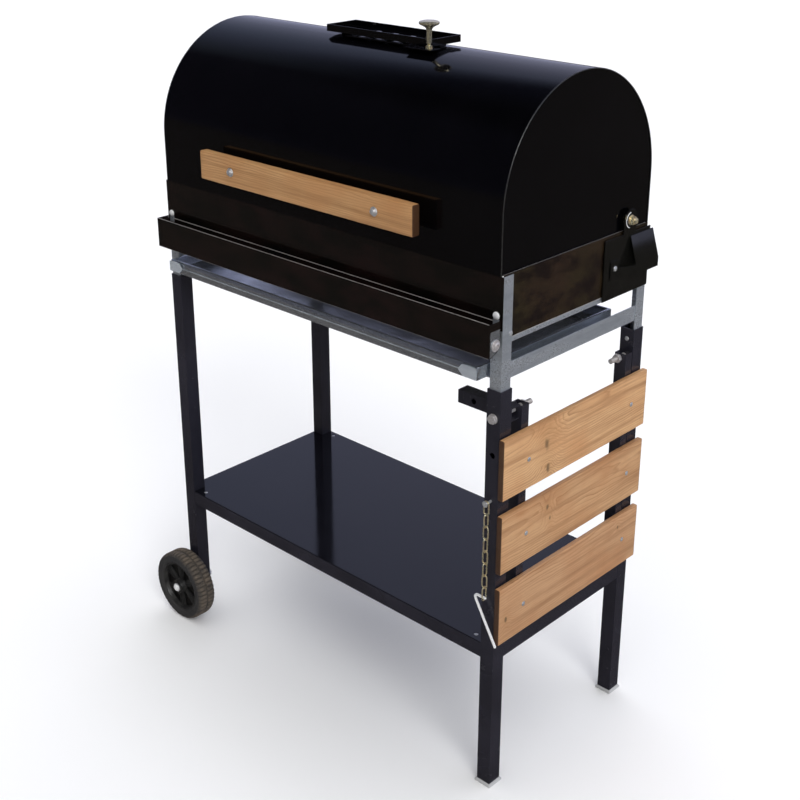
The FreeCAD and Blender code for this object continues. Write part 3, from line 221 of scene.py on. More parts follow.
def softwood(name, node, along, pith, knots, pale, ring=0.0042, late=(0.27, 0.115, 0.04)):
    """Make oiled softwood for one board: rings about a pith line, knots, and ends darkened partly by end
    grain and mostly by painted shade.

    along is the number of the grain's axis, pith a point on the heart line; knots are pairs of a
    centre and a radius."""
    centre, half = halved(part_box(node))
    wood = Finish(name, pale, 0.5, gloss=0.3)

    def grain(lengthwise, across):
        return [lengthwise if axis == along else across for axis in range(3)]

    def toned(*shares):
        return tuple(part * share for part, share in zip(pale, shares))
    drift = wood.maths("MULTIPLY", wood.drawn_noise(grain(4.0, 20.0), shift=pith), 0.021)
    grown = wood.maths("ADD", wood.length_of(wood.stretched(grain(0.035, 1.0), pith)), drift)
    core = halo = 0.0
    for spot, radius in knots:
        wander = wood.remap(wood.noise(30.0), 0.3, 0.7, -0.5 * radius, 0.5 * radius)
        away = wood.maths("ADD", wood.length_of(wood.stretched(KNOT_OVAL, spot)), wander)

        def fading(near, far, most):
            return wood.remap(away, radius * near, radius * far, most, 0.0, smooth=True)
        grown = wood.maths("ADD", grown, fading(0.4, 6.0, radius * 1.5))
        core = wood.maths("MAXIMUM", core, fading(0.45, 1.15, 1.0))
        halo = wood.maths("MAXIMUM", halo, fading(0.8, 4.0, 0.8))
    year = wood.maths("FRACT", wood.maths("MULTIPLY", grown, 1.0 / ring))
    waning = tuple(0.6 * light + 0.4 * dark for light, dark in zip(pale, late))
    rings = wood.ramp(year, (0.0, pale), (0.45, toned(0.95, 0.95, 0.95)), (0.78, waning),
        (0.92, late), (1.0, pale))
    umber = toned(0.6, 0.52, 0.46)
    fibre = wood.drawn_noise(grain(22.0, 800.0), 5.0, 0.65)
    colour = wood.wash(wood.drawn_noise(grain(4.0, 20.0), shift=centre), 0.36, 0.64, 0.62, rings, pale)
    colour = wood.wash(wood.drawn_noise((9.0, 9.0, 9.0), shift=pith), 0.4, 0.66, 0.7, colour,
        toned(0.82, 0.66, 0.55))
    colour = wood.wash(wood.drawn_noise(grain(3.0, 85.0), 4.0, 0.6, pith), 0.48, 0.68, 0.9, colour, umber)
    colour = wood.wash(fibre, 0.45, 0.75, 0.35, colour, umber)
    colour = wood.wash(wood.drawn_noise(grain(60.0, 2600.0), 2.0), 0.6, 0.78, 0.45, colour,
        (0.2, 0.1, 0.045))
    colour = wood.blend(wood.maths("MULTIPLY", halo, 0.3), colour, (0.4, 0.2, 0.075))
    colour = wood.blend(wood.maths("MULTIPLY", core, 0.8), colour, (0.13, 0.08, 0.036))
    # Both ends of the board go near black: partly the darker end grain, mostly painted shade on the sawn
    # ends.
    far = wood.length_of(wood.stretched(grain(1.0, 0.0), centre))
    colour = wood.wash(far, half[along] - 2.2 * MM, half[along] - 0.7 * MM, 0.93, colour,
        (0.04, 0.016, 0.008), smooth=True)
    return wood.done(colour, wood.remap(fibre, 0.3, 0.7, 0.42, 0.62),
        wood.bump(fibre, 0.35, 0.00025, wood.bump(year, 0.25, 0.0003)))


def cap_plastic():
    """Make the foot caps' grey plastic, with dusty patches."""
    grey, rough = (0.5, 0.5, 0.5), 0.45
    plastic = Finish("cap_plastic", grey, rough)
    dust = plastic.noise(38.0, 5.0, 0.6)
    return plastic.done(plastic.wash(dust, 0.45, 0.75, 0.8, grey, (0.485, 0.485, 0.485)),
        plastic.remap(dust, 0.35, 0.7, rough, rough + 0.2),
        plastic.bump(plastic.noise(1900.0, 2.0), 0.25, 0.0002))


def rim_plastic():
    """Make the rims' black plastic: dusty where proud, with painted shade darkening the pockets."""
    plastic = Finish("rim_plastic", (0.012, 0.012, 0.012), 0.34)
    floor = RIM_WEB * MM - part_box("rim_front")[1].y
    out = plastic.length_of(plastic.stretched((0, 1, 0)))
    # The pockets go near black: painted shade. The proud parts keep the dusty grey.
    clear_of_pocket_shade = plastic.remap(out, floor + 0.3 * MM, floor + 4.0 * MM, smooth=True)
    dust = plastic.noise(60.0, 5.0, 0.6)
    grey = plastic.wash(dust, 0.42, 0.7, 1.0, (0.02, 0.02, 0.02), (0.04, 0.0385, 0.0355))
    return plastic.done(plastic.blend(clear_of_pocket_shade, (0.0045, 0.0045, 0.0045), grey),
        plastic.remap(dust, 0.35, 0.7, 0.28, 0.55), plastic.bump(plastic.noise(1900.0, 2.0), 0.25, 0.0002))


def tyre_rubber():
    """Make black rubber whose tread is brown with yard dust, and whose grooves are darkened by painted
    shade.
    """
    rubber = Finish("tyre_rubber", (0.024, 0.023, 0.022), 0.75, gloss=0.35)
    middle, half = halved(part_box("tyre_front"))
    outer = half.z
    reach = rubber.length_of(rubber.stretched((1, 0, 1), middle))
    on_tread = rubber.remap(reach, outer * 0.9, outer * 0.965, 0.12, 1.0, smooth=True)
    in_groove = rubber.remap(reach, outer * 0.97, outer * 0.99, 0.35, 1.0, smooth=True)
    dust = rubber.noise(55.0, 6.0, 0.65)
    grit = rubber.noise(900.0)
    lying = rubber.maths("MULTIPLY", rubber.remap(dust, 0.3, 0.6, 0.25, 1.0), on_tread)
    # The groove bottoms get a darker brown: painted shade. The tread tops keep the dust's brown.
    dust_and_groove_shade = rubber.blend(in_groove, (0.05, 0.042, 0.034), (0.135, 0.108, 0.082))
    brown = rubber.blend(lying, (0.032, 0.032, 0.033), dust_and_groove_shade)
    speckled = rubber.maths("MULTIPLY", rubber.remap(grit, 0.6, 0.75, 0.0, 0.5), on_tread)
    return rubber.done(rubber.blend(speckled, brown, (0.21, 0.18, 0.14)),
        rubber.remap(dust, 0.35, 0.7, 0.62, 0.9), rubber.bump(grit, 0.4, 0.0004))


def yellow_zinc():
    """Make yellow-passivated zinc, which shifts between straw, green and pink."""
    metal = Finish("yellow_zinc", (0.8, 0.72, 0.5), 0.28, 0.8)
    hue = metal.noise(150.0)
    tones = metal.ramp(hue, (0.3, (0.8, 0.82, 0.62)), (0.46, (0.9, 0.82, 0.55)),
        (0.58, (0.84, 0.7, 0.42)), (0.72, (0.76, 0.62, 0.52)))
    return metal.done(tones, metal.remap(hue, 0.3, 0.7, 0.2, 0.4),
        metal.bump(metal.noise(1500.0), 0.15, 0.0002))


LID_PAINT = enamel("lid_enamel", (0.0009, 0.0009, 0.0014), (0.0016, 0.0015, 0.0021), 0.06, 0.0006,
    gloss=0.36)
SHELF_PAINT = enamel("shelf_enamel", (0.003, 0.003, 0.0046), (0.0042, 0.004, 0.006), 0.05, 0.0002)
END_PAINT = enamel("fire_box_enamel", (0.021, 0.0155, 0.0068), (0.025, 0.0135, 0.0085), 0.11, 0.0012,
    clouds=(0.0075, 0.0042, 0.0036))
FRONT_PAINT = enamel("fire_front_enamel", (0.006, 0.004, 0.003), (0.0105, 0.0045, 0.0042), 0.1,
    0.0012, clouds=(0.003, 0.0026, 0.002))
BRACKET_PAINT = enamel("bracket_enamel", (0.0034, 0.0034, 0.0029), (0.006, 0.006, 0.005), 0.09, 0.001)
FRAME_PAINT = enamel("frame_powder_coat", (0.0165, 0.016, 0.023), (0.0255, 0.0245, 0.035), 0.16,
    0.0005, grain=0.9)
GALVANISED = galvanised_steel("galvanised_steel", 0.72, 0.22, 0.36)
TRAY_STEEL = galvanised_steel("tray_steel", 0.9, 0.1, 0.2)
BRIGHT_STEEL = galvanised_steel("bright_steel", 0.45, 0.22, 0.34)
ZINC = plain_metal("bright_zinc", (0.82, 0.83, 0.84), (0.5, 0.5, 0.51), 0.24, 0.72)
# Matt zinc made near white and mostly diffuse, so the dome heads, the pin and the ear crescents look as
# bright as highlights: partly painted highlight.
ZINC_WITH_PAINTED_HIGHLIGHT = plain_metal("matt_zinc_painted_highlight", (0.95, 0.95, 0.94), (0.8, 0.8, 0.79), 0.4, 0.2)
# Pale bare metal for thin wires laid on sheet edges: painted highlight lines where the edges catch the
# light.
EDGE_HIGHLIGHT_METAL = plain_metal("edge_highlight_metal", (0.78, 0.75, 0.72), (0.3, 0.28, 0.26), 0.34, 0.6)
LID_EDGE = plain_metal("lid_edge", (0.16, 0.16, 0.155), (0.05, 0.05, 0.05), 0.26, 0.9)
BRASS = plain_metal("polished_brass", (0.86, 0.8, 0.6), (0.58, 0.51, 0.32), 0.14, 0.85, scratch=0.06)
DARK_BOLT = plain_metal("worn_bolt_steel", (0.72, 0.69, 0.68), (0.46, 0.43, 0.42), 0.38, 0.65)
YELLOW_ZINC = yellow_zinc()
GRATE_METAL = grate_metal("grate_steel", (0.42, 0.41, 0.4), (0.22, 0.15, 0.1))
COAL_METAL = grate_metal("coal_grate_steel", (0.2, 0.19, 0.18), (0.12, 0.075, 0.05))
CAP_PLASTIC = cap_plastic()
RIM_PLASTIC = rim_plastic()
TYRE_RUBBER = tyre_rubber()


# ---- mesh building ----

def facing(point, direction):
    """Give the matrix that carries local +Z onto a direction, starting at a point."""
    turn = Vector(direction).to_track_quat("Z", "Y").to_matrix().to_4x4()
    return Matrix.Translation(point) @ turn


def turned_about(degrees):
    """Give the matrix of a turn about local Z."""
    return Matrix.Rotation(radians(degrees), 4, "Z")


def arc(radius, start, end, steps, middle=(0.0, 0.0)):
    """Give points on an arc in a plane; the angles are in degrees."""
    turns = [radians(start + (end - start) * step / steps) for step in range(steps + 1)]
    return [(middle[0] + radius * cos(turn), middle[1] + radius * sin(turn)) for turn in turns]


def rounded_rectangle(half_wide, half_high, radius, steps=4, splits=1):
    """Give a rounded rectangle's outline, with its flat sides split into equal lengths."""
    corners = []
    for quarter, (right, up) in enumerate(((1, 1), (-1, 1), (-1, -1), (1, -1))):
        middle = (right * (half_wide - radius), up * (half_high - radius))
        corners.append(arc(radius, 90 * quarter, 90 * quarter + 90, steps, middle))
    outline = []
    for corner, following in zip(corners, corners[1:] + corners[:1]):
        start, end = Vector(corner[-1]), Vector(following[0])
        outline += corner + [tuple(start.lerp(end, split / splits)) for split in range(1, splits)]
    return outline


def placed(name, data):
    """Put an object of some data into the scene."""
    made = bpy.data.objects.new(name, data)
    bpy.context.scene.collection.objects.link(made)
    return made


class Shape:
    """The points and faces of one piece, gathered ring by ring in the row frame."""

    def __init__(self):
        self.points = []
        self.faces = []

    def rings(self, rings, ends=True, loop=False):
        """Join rings into a skin, closed by end faces or back to its start."""
        first, count = len(self.points), len(rings[0])
        for ring in rings:
            self.points += [Vector(point) for point in ring]
        for span in range(len(rings) if loop else len(rings) - 1):
            here, there = first + span * count, first + (span + 1) % len(rings) * count
            for step in range(count):
                after = (step + 1) % count
                self.faces.append((here + step, here + after, there + after, there + step))
        if ends and not loop:
            last = first + (len(rings) - 1) * count
            self.faces.append(tuple(range(first + count - 1, first - 1, -1)))
            self.faces.append(tuple(range(last, last + count)))

    def lathe(self, profile, place, steps=40, across=None, change=None, loop=False):
        """Turn (radius, height) pairs about the place's Z axis.

        across cuts a hexagon of that width over its flats; change alters a radius, given the
        numbers of the profile's point and of the step."""
        rings = []
        for number, (radius, height) in enumerate(profile):
            ring = []
            for step in range(steps):
                turn = 2 * pi * step / steps
                reach = change(number, step, radius) if change else radius
                if across:
                    reach = min(reach, across / 2 / cos((turn % (pi / 3)) - pi / 6))
                ring.append(place @ Vector((reach * cos(turn), reach * sin(turn), height)))
            rings.append(ring)
        self.rings(rings, loop=loop)

    def rod(self, place, radius, length, steps=32):
        """Add a plain round rod."""
        self.lathe([(radius, 0), (radius, length)], place, steps)

    def tube(self, path, radius, flat, sides=12, loop=False, taper=False):
        """Sweep a circle along a path that lies in the plane whose normal is flat."""
        rings = []
        for number, point in enumerate(path):
            before = path[number - 1] if loop or number else point
            after = path[(number + 1) % len(path)] if loop or number + 1 < len(path) else point
            side = (after - before).normalized().cross(flat)
            reach = radius * (0.55 if taper and number in (0, len(path) - 1) else 1.0)
            rings.append([point + side * x + flat * y for x, y in arc(reach, 0, 360, sides)[:-1]])
        self.rings(rings, loop=loop)

    def wire(self, start, end, radius, flat):
        """Add a thin straight wire."""
        self.tube([Vector(start), Vector(end)], radius, flat, sides=10)

    def slab(self, low, high, edge):
        """Add a box with every edge rounded."""
        middle, half = halved((Vector(low), Vector(high)))
        rings = []
        for way, turns in ((-1, (0, 45, 90)), (1, (90, 45, 0))):
            for angle in map(radians, turns):
                inset = edge * (1 - sin(angle))
                rise = half.z - edge + edge * cos(angle)
                outline = rounded_rectangle(half.x - inset, half.y - inset,
                    max(edge - inset, edge * 0.2), steps=2)
                rings.append([(middle.x + x, middle.y + y, middle.z + way * rise) for x, y in outline])
        self.rings(rings)

    def copy_of(self, mesh, place):
        """Add a copy of a mesh."""
        first = len(self.points)
        self.points += [place @ (vertex.co / MM) for vertex in mesh.vertices]
        self.faces += [tuple(first + index for index in face.vertices) for face in mesh.polygons]

    def mesh(self, name):
        """Give the finished mesh, smooth across gentle edges and sharp across the rest."""
        made = bpy.data.meshes.new(name)
        made.from_pydata([tuple(point * MM) for point in self.points], [], self.faces)
        tidy = bmesh.new()
        tidy.from_mesh(made)
        bmesh.ops.recalc_face_normals(tidy, faces=tidy.faces)
        tidy.to_mesh(made)
        tidy.free()
        made.shade_smooth()
        made.set_sharp_from_angle(angle=SHARP_ANGLE)
        return made


def piece(name, shape, material, body, slot, *stands_for):
    """Turn a shape into a piece that rides on a body and may stand for CAD nodes."""
    made = placed(name, shape.mesh(name))
    made.data.materials.append(material)
    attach(made, body)
    if stands_for:
        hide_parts(*stands_for)


# ---- measures of the CAD ----

def box(node):
    """Give a CAD node's lowest and highest corner, in millimetres."""
    return [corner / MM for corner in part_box(node)]


def solids(node):
    """Give the lowest and highest corner of each separate solid in a CAD node, in millimetres."""
    whole = bmesh.new()
    whole.from_mesh(NODES[node].data)
    bmesh.ops.remove_doubles(whole, verts=whole.verts, dist=0.01 * MM)
    waiting, found = set(whole.verts), []
    while waiting:
        island = [waiting.pop()]
        for vertex in island:
            near = {edge.other_vert(vertex) for edge in vertex.link_edges} & waiting
            waiting -= near
            island += near
        corners = [[vertex.co[axis] / MM for vertex in island] for axis in range(3)]
        found.append((Vector([min(values) for values in corners]),
            Vector([max(values) for values in corners])))
    whole.free()
    return sorted(found, key=lambda corners: tuple(corners[0]))


def sided_solids(node, axis):
    """Give each solid of a node with the sign and name of its side or row."""
    names = (("left", "right"), ("front", "rear"))[axis]
    for corners in solids(node):
        positive = corners[0][axis] > 0
        yield corners, 1 if positive else -1, names[positive]


def ends(corners, axis, sign):
    """Give where a box starts and where it ends, going along an axis or against it."""
    low, high = corners
    return (low[axis], high[axis]) if sign > 0 else (high[axis], low[axis])


def start_of(corners, axis, sign):
    """Give the matrix that faces into a box from the middle of its starting end."""
    return line_through(corners, axis, sign)(ends(corners, axis, sign)[0])


def line_through(corners, axis, sign=1):
    """Give a function that faces along a box's middle line from a coordinate on it."""
    middle, half = halved(corners)

    def at(coordinate, way=1):
        point = middle.copy()
        point[axis] = coordinate
        return facing(point, AXES[axis] * sign * way)
    return at


# ---- fasteners ----

def nut(shape, place, across, height):
    """Add a hexagonal nut or head with turned-down corners at both faces."""
    corner = across / sqrt(3)
    turned = across * 0.49
    shape.lathe([(turned, 0), (corner, height * 0.12), (corner, height * 0.86), (turned, height)],
        place, steps=48, across=across)


def washer(shape, place, radius, height):
    """Add a flat washer with eased edges."""
    ease = height * 0.25
    shape.lathe([(radius - ease, 0), (radius, ease), (radius, height - ease), (radius - ease, height)],
        place)


def thread(shape, place, radius, length, pitch=1.25):
    """Add a screwed rod: a row of V grooves with a chamfered tip."""
    turns = max(2, int(length / pitch))
    profile = []
    for turn in range(turns):
        profile += [(radius * 0.86, length * turn / turns), (radius, length * (turn + 0.5) / turns)]
    profile += [(radius * 0.86, length * 0.99), (radius * 0.7, length)]
    shape.lathe(profile, place, steps=24)


def dome(shape, place, radius, height, steps=8):
    """Add a domed head that rises from a short straight rim."""
    rim = height * 0.18
    crown = [(x, rim + y * (height - rim) / radius) for x, y in arc(radius, 0, 90, steps)[:-1]]
    shape.lathe([(radius * 0.96, 0)] + crown + [(radius * 0.04, height)], place)


def crossed_head(radius, height):
    """Make the mesh of a pan head with a cross recess, facing +Z, for copying."""
    head = Shape()
    dome(head, Matrix(), radius, height)
    body = placed("head", head.mesh("head"))
    parts = [body]
    for along in (X, Y):
        wing = Shape()
        thick = Vector((radius * 0.11,) * 3)
        reach = thick + along * (radius * 0.62 - thick.x)
        wing.slab((-reach.x, -reach.y, height * 0.35), (reach.x, reach.y, height * 1.5), radius * 0.04)
        parts.append(placed("wing", wing.mesh("wing")))
        cutter = body.modifiers.new("recess", "BOOLEAN")
        cutter.object, cutter.operation, cutter.solver = parts[-1], "DIFFERENCE", "EXACT"
    graph = bpy.context.evaluated_depsgraph_get()
    made = bpy.data.meshes.new_from_object(body.evaluated_get(graph))
    for part in parts:
        bpy.data.objects.remove(part)
    return made


def crossed_screw(shape, corners, axis, sign=1):
    """Add a crossed head that fills a box, and faces along an axis or against it."""
    size = corners[1] - corners[0]
    shape.copy_of(crossed_head(size[axis - 1] / 2, size[axis]), start_of(corners, axis, sign))


# ---- CAD nodes that stay ----

def welded_group():
    """Make the nodes that join a mesh's split corners and mark its sharp edges."""
    group = bpy.data.node_groups.new("joined_corners", "GeometryNodeTree")
    for way in ("INPUT", "OUTPUT"):
        group.interface.new_socket("Geometry", in_out=way, socket_type="NodeSocketGeometry")
    chain = [group.nodes.new(kind) for kind in (
        "NodeGroupInput", "GeometryNodeRemoveAttribute", "GeometryNodeMergeByDistance",
        "GeometryNodeSetShadeSmooth", "GeometryNodeSetShadeSmooth", "NodeGroupOutput")]
    chain[1].inputs["Name"].default_value = "custom_normal"
    chain[2].inputs["Distance"].default_value = 0.01 * MM
    chain[4].domain = "EDGE"
    angle = group.nodes.new("GeometryNodeInputMeshEdgeAngle")
    gentle = group.nodes.new("FunctionNodeCompare")
    gentle.operation = "LESS_THAN"
    gentle.inputs[1].default_value = SHARP_ANGLE
    group.links.new(angle.outputs["Unsigned Angle"], gentle.inputs[0])
    group.links.new(gentle.outputs[0], chain[4].inputs["Shade Smooth"])
    for before, after in zip(chain, chain[1:]):
        group.links.new(before.outputs[0], after.inputs[0])
    return group


JOINED_CORNERS = welded_group()


def finish_node(name, material, edge):
    """Give a CAD node its material, and round its edges."""
    node = NODES[name]
    for held in node.material_slots:
        held.material = material
    join = node.modifiers.new("joined_corners", "NODES")
    join.node_group = JOINED_CORNERS
    if edge:
        flat = node.modifiers.new("flat_faces", "DECIMATE")
        flat.decimate_type = "DISSOLVE"
        flat.angle_limit = radians(0.5)
        soften = node.modifiers.new("soft_edges", "BEVEL")
        soften.width = edge * MM
        soften.segments = 2
        soften.limit_method = "ANGLE"
        soften.angle_limit = SHARP_ANGLE
        soften.harden_normals = True
        soften.use_clamp_overlap = True


def finish_cad_nodes():
    """Dress every CAD node that is kept; the numbers are edge radii."""
    coats = ((LID_PAINT, 0.7, ("lid_skin",)), (LID_PAINT, 0.4, ("lid_end", "vent_slider")),
        (LID_PAINT, 0.45, ("vent_tray",)), (END_PAINT, 0.35, ("end_panel", "rear_panel")),
        (FRONT_PAINT, 0.35, ("front_panel", "front_flap")),
        (BRACKET_PAINT, 0.5, ("hinge_bracket", "lid_stop")),
        (GALVANISED, 0.5, ("leg_angle", "ash_rail", "grate_ledge", "charcoal_supports")),
        (FRAME_PAINT, 1.1, ("leg_front", "leg_rear", "shelf_rail", "table_arm", "table_lever")),
        (FRAME_PAINT, 0.3, ("handle_spacers",)), (SHELF_PAINT, 0.5, ("shelf_plate",)),
        (GRATE_METAL, 0.0, ("cooking_grate",)), (COAL_METAL, 0.0, ("charcoal_grate",)))
    for name in NODES:
        for material, edge, starts in coats:
            if name.startswith(starts):
                finish_node(name, material, edge)


# ---- wood ----

def board(name, node, along, edge, material, body):
    """Build a planed board with eased edges and a slightly worked face."""
    middle, half = halved(box(node))
    thick = 1 - along
    section = rounded_rectangle(half[thick], half.z, edge, splits=6)
    stations = 48
    rings = []
    for station in range(-2, stations + 3):
        inside = min(max(station, 0), stations)
        ease = abs(station - inside) * pi / 4
        travel = (half[along] - edge + edge * sin(ease)) * (2 * inside / stations - 1)
        shrink = edge * (1 - cos(ease)) * 0.8
        ring = []
        for across, up in section:
            spot = Vector((travel * 30, across * 60, up * 40)) + middle
            wear = 0.35 * (0.5 + 0.5 * noise.noise(spot * MM))
            point = middle.copy()
            point[along] += travel
            point[thick] += across * (1 - (shrink + wear) / half[thick])
            point.z += up * (1 - (shrink + wear) / half.z)
            ring.append(point)
        rings.append(ring)
    shape = Shape()
    shape.rings(rings)
    piece(name, shape, material, body, "wood", node)


def wooden_parts():
    """Build the table's slats and the handle board, each from its own log.

    A slat has a tone, the offset of its heart line, and knots on its face (y, z, radius)."""
    slats = (("upper", (0.68, 0.405, 0.195), (0.03, 0.05, -0.05),
        ((-0.094, 0.013, 0.0105), (-0.09, -0.038, 0.006))),
        ("middle", (0.585, 0.34, 0.165), (0.045, 0.02, -0.03),
        ((-0.085, 0.028, 0.005), (-0.076, 0.002, 0.004))),
        ("lower", (0.555, 0.32, 0.162), (0.06, -0.03, -0.085),
        ((-0.196, -0.01, 0.004), (0.15, 0.034, 0.0026))))
    for name, pale, heart, knots in slats:
        middle, half = halved(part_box("slat_" + name))
        spots = [(middle + Vector((half.x, y, z)), radius) for y, z, radius in knots]
        wood = softwood("slat_wood_" + name, "slat_" + name, 1, middle - Vector(heart), spots, pale)
        board("slat_board_" + name, "slat_" + name, 1, 2.4, wood, "side_table")
    heart = halved(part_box("handle_board"))[0] + Vector((0.1, 0.035, 0.055))
    wood = softwood("handle_wood", "handle_board", 0, heart, [], (0.567, 0.321, 0.135), ring=0.0036,
        late=(0.22, 0.09, 0.032))
    board("handle_board_planed", "handle_board", 0, 2.6, wood, "lid")


# ---- lid fittings ----

def handle_fasteners():
    """Build the handle's dome nuts, and the nuts inside the lid."""
    face = box("handle_board")[0].y
    inner = box("lid_skin")[0].y + 1.5
    shape = Shape()
    for corners in solids("handle_bolts"):
        at = line_through(corners, 1)
        washer(shape, at(face, -1), 8.6, 1.0)
        nut(shape, at(face - 1.0, -1), 12.5, 2.6)
        dome(shape, at(face - 3.4, -1), 5.6, 3.5)
        washer(shape, at(inner), 8.6, 1.2)
        nut(shape, at(inner + 1.2), 12.5, 4.0)
        thread(shape, at(face - 0.5), 3.9, corners[1].y - face + 0.5)
    piece("handle_dome_nuts", shape, ZINC, "lid", "zinc_bolt", "handle_bolts")


def lid_hems():
    """Roll the lid sheet's hems, and lay pale wires on the low edges of its end plates: painted highlight
    lines.
    """
    low, high = box("lid_skin")
    radius = (high.y - low.y) / 2
    hems, edges = Shape(), Shape()
    for x in (low.x + 0.55, high.x - 0.55):
        path = [Vector((x, y, high.z - radius + z)) for y, z in arc(radius - 0.8, 0, 180, 72)]
        rear, front = path[0].copy(), path[-1].copy()
        rear.z = front.z = low.z + 0.5
        hems.tube([rear] + path + [front], 1.1, X)
    for side, sign in SIDES:
        low, high = box("lid_end_" + side)
        x = ends((low, high), 0, sign)[1] - sign * 0.5
        edges.wire((x, low.y + 4, low.z + 0.6), (x, high.y - 4, low.z + 0.6), 0.6, X)
    piece("lid_hems", hems, LID_EDGE, "lid", "lid_paint")
    piece("lid_lower_edges", edges, EDGE_HIGHLIGHT_METAL, "lid", "lid_paint")


def vent_knob():
    """Turn the brass knob with its stem, and the nut and rod on the slider tab."""
    low, high = box("vent_knob")
    at = line_through((low, high), 2)
    head = [(4.6, 8.5), (5.0, 9.2), (5.0, 31.0), (5.4, 34.0), (7.6, 37.2), (12.0, 39.8), (16.6, 41.8),
        (18.1, 43.2), (18.5, 45.0), (18.3, 46.4), (17.2, 47.4), (13.0, 48.6), (7.0, 49.4), (0.3, 49.6)]
    scale = (high.z - low.z) / head[-1][1]
    knob, foot = Shape(), Shape()
    knob.lathe([(radius, height * scale) for radius, height in head], at(low.z), steps=56)
    washer(foot, at(low.z), 6.5, 1.1)
    nut(foot, at(low.z + 1.1), 10.0, 3.9)
    thread(foot, at(low.z + 4.5), 3.0, 5.0, 1.0)
    piece("knob_turned", knob, BRASS, "damper", "brass", "vent_knob")
    piece("knob_rod_nut", foot, YELLOW_ZINC, "damper", "brass")


def crossed_screws(name, node, axis, body):
    """Build the crossed screw heads of a node that holds nothing else."""
    shape = Shape()
    for corners in solids(node):
        crossed_screw(shape, corners, axis)
    piece(name, shape, ZINC, body, "zinc_bolt", node)


def lid_hinge_bolts():
    """Build the hinge bolts, and pale crescents on their ears: painted highlights where the ears' edges
    catch the light.
    """
    shape, highlight_crescents = Shape(), Shape()
    for corners, sign, side in sided_solids("lid_pivots", 0):
        start, end = ends(corners, 0, sign)
        inner, plate = ends(box("lid_end_" + side), 0, sign)
        near, ear = ends(box("hinge_bracket_" + side), 0, sign)
        at = line_through(corners, 0, sign)
        nut(shape, at(start), 15.5, abs(inner - start) - GAP)
        shape.rod(at(start), 5.0, abs(ear - start))
        washer(shape, at(plate + sign * GAP), 8.5, abs(near - plate) - GAP)
        washer(shape, at(ear), 9.5, 1.6)
        nut(shape, at(ear + sign * 1.6), 14.0, 7.0)
        thread(shape, at(ear), 4.95, abs(end - ear))
        centre = at(ear + sign * 0.4).translation
        # A pale half ring on the lit side of each ear only: a painted highlight.
        bow = [centre + Vector((0, across, up)) for across, up in arc(14.5, 95, 255, 24)]
        highlight_crescents.tube(bow, 0.8, X, sides=10, taper=True)
    piece("lid_hinge_bolts", shape, YELLOW_ZINC, "stand", "yellow_zinc", "lid_pivots")
    piece("hinge_ear_painted_highlights", highlight_crescents, ZINC_WITH_PAINTED_HIGHLIGHT, "stand", "zinc_bolt")


# ---- fire box fittings ----

def flap_bolts():
    """Build the flap's pivot bolts, each with a ring nut over a wide washer."""
    shape = Shape()
    for corners, sign, side in sided_solids("flap_pivots", 0):
        inner, outer = ends(corners, 0, sign)
        face = ends(box("front_flap"), 0, sign)[1] + sign * GAP
        crown = abs(outer - face) - 1.5
        at = line_through(corners, 0, sign)
        washer(shape, at(face), 10.5, 1.5)
        shape.lathe([(2.6, 0.6), (2.9, crown), (4.6, crown), (6.4, crown * 0.6), (6.6, 0)],
            at(face + sign * 1.5), steps=48, across=12.6)
        shape.rod(at(inner), 3.97, abs(face - inner), steps=28)
        nut(shape, at(inner), 12.5, 4.8)
    piece("flap_pivot_bolts", shape, DARK_BOLT, "stand", "zinc_bolt", "flap_pivots")


def sheet_edges():
    """Lay pale wires along the flap's folds, the stoking slot and the end panels: painted highlight lines.
    """
    fixed, moving, plates = Shape(), Shape(), Shape()
    low, high = box("front_flap")
    fold, inner, inset = 0.7, 2.0, 0.3
    for height in (high.z - inset, low.z + inset):
        moving.wire((low.x + inner, low.y + fold, height), (high.x - inner, low.y + fold, height), fold, Y)
    pivot, half = halved(solids("flap_pivots")[0])
    front, rear, bottom, top = low.y + 2.0, high.y - 1.0, low.z + 1.5, high.z - 14.0
    outline = [(front, bottom), (pivot.y - 8, bottom), (pivot.y + 5, pivot.z - 11),
        (rear, pivot.z - 4), (rear, top), (front, top)]
    for span in ((low.x - 0.05, low.x + 0.2), (high.x - 0.2, high.x + 0.05)):
        plates.rings([[(x, y, z) for y, z in outline] for x in span])
    low, high = box("front_panel")
    slot = box("grate_ledge_front")[0].z
    fixed.wire((low.x + 5 * inner, high.y - 1.9, slot), (high.x - 5 * inner, high.y - 1.9, slot), fold, Y)
    for side, sign in SIDES:
        low, high = box("end_panel_" + side)
        x = ends((low, high), 0, sign)[1] - sign * 0.4
        fixed.wire((x, low.y + inner, low.z + inset), (x, high.y - inner, low.z + inset), fold, X)
    piece("fire_box_edges", fixed, EDGE_HIGHLIGHT_METAL, "stand", "frame_paint")
    piece("flap_edges", moving, EDGE_HIGHLIGHT_METAL, "flap", "frame_paint")
    piece("flap_bare_ends", plates, TRAY_STEEL, "flap", "galvanised")


